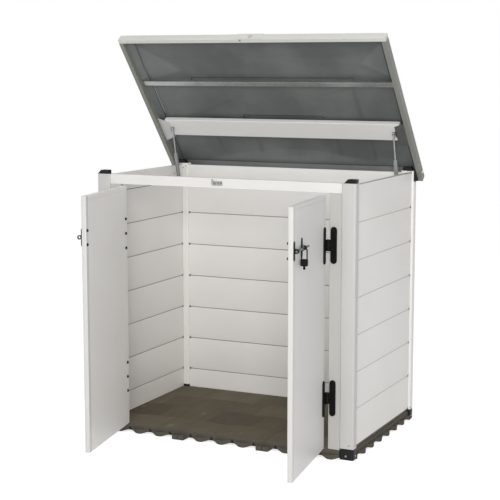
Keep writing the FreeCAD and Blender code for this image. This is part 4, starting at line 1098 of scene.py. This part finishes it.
lines = stageLook["lines"]
edge = np.linspace(-stageLook["size"], stageLook["size"], lines)
yy, xx = np.meshgrid(edge, edge, indexing="ij")
mesh = bpy.data.meshes.new("stage_floor")
points = np.stack([xx, yy, np.full_like(xx, -stageLook["below"])], -1).reshape(-1, 3)
mesh.from_pydata(points.tolist(), [], gridQuads(lines, lines)[:, ::-1].tolist())
floor = bpy.data.objects.new("stage_floor", mesh)
bpy.context.scene.collection.objects.link(floor)
material = bpy.data.materials.new("paleFloor")
material.use_nodes = True
tree = material.node_tree
shader = tree.nodes["Principled BSDF"]
feed(tree, shader, {
    "Base Color": rgba(stageLook["color"]), "Roughness": stageLook["rough"], "Specular IOR Level": 0.0,
})
strength = maths(tree, "MULTIPLY", seenRays(tree), stageLook["glow"])
glow = addNode(tree, "ShaderNodeEmission", {"Strength": strength})
both = addNode(tree, "ShaderNodeAddShader", {0: shader.outputs[0], 1: glow.outputs[0]})
tree.links.new(both.outputs[0], tree.nodes["Material Output"].inputs["Surface"])
mesh.materials.append(material)

world = bpy.data.worlds.new("paleRoom")
bpy.context.scene.world = world
world.use_nodes = True
tree = world.node_tree
shade = tree.nodes["Background"]
shade.inputs["Color"].default_value = (1, 1, 1, 1)
ambient = stageLook["ambient"]
feed(tree, shade, {"Strength": maths(tree, "MULTIPLY_ADD", seenRays(tree), 1.0 - ambient, ambient)})


# Name, place, aim, size and power
lamps = (
    ("key", (2.5, -6.3, 2.3), (0, 0, 0.6), 2.2, 197),
    ("left", (-3.6, -4.6, 3.4), (0, 0, 0.7), 2.4, 18),
    ("right", (5.0, -2.4, 2.4), (0, 0, 0.6), 2.4, 22),
    ("top", (0.4, -2.4, 4.8), (0, -0.2, 0.6), 2.4, 22),
)
for name, place, aim, size, power in lamps:
    data = bpy.data.lights.new(name, "AREA")
    data.shape = "SQUARE"
    data.size = size
    data.energy = power
    made = bpy.data.objects.new(name, data)
    bpy.context.scene.collection.objects.link(made)
    made.location = place
    away = np.array(place) - np.array(aim)
    made.rotation_euler = (math.acos(away[2] / np.linalg.norm(away)), 0, math.atan2(away[0], -away[1]))


cameraPlace = {
    "location": (2.5302, -5.4268, 1.6325), "down": 7.9, "round": 25.4, "lens": 96.3, "sensor": 36.0,
    "far": 100,
}
data = bpy.data.cameras.new("camera")
data.lens = cameraPlace["lens"]
data.sensor_width = cameraPlace["sensor"]
data.clip_end = cameraPlace["far"]
made = bpy.data.objects.new("camera", data)
bpy.context.scene.collection.objects.link(made)
made.location = cameraPlace["location"]
made.rotation_euler = (math.radians(90 - cameraPlace["down"]), 0, math.radians(cameraPlace["round"]))
bpy.context.scene.camera = made

bpy.context.scene.view_settings.view_transform = "Standard"
bpy.context.view_layer.update()

print("stage: scene ready")
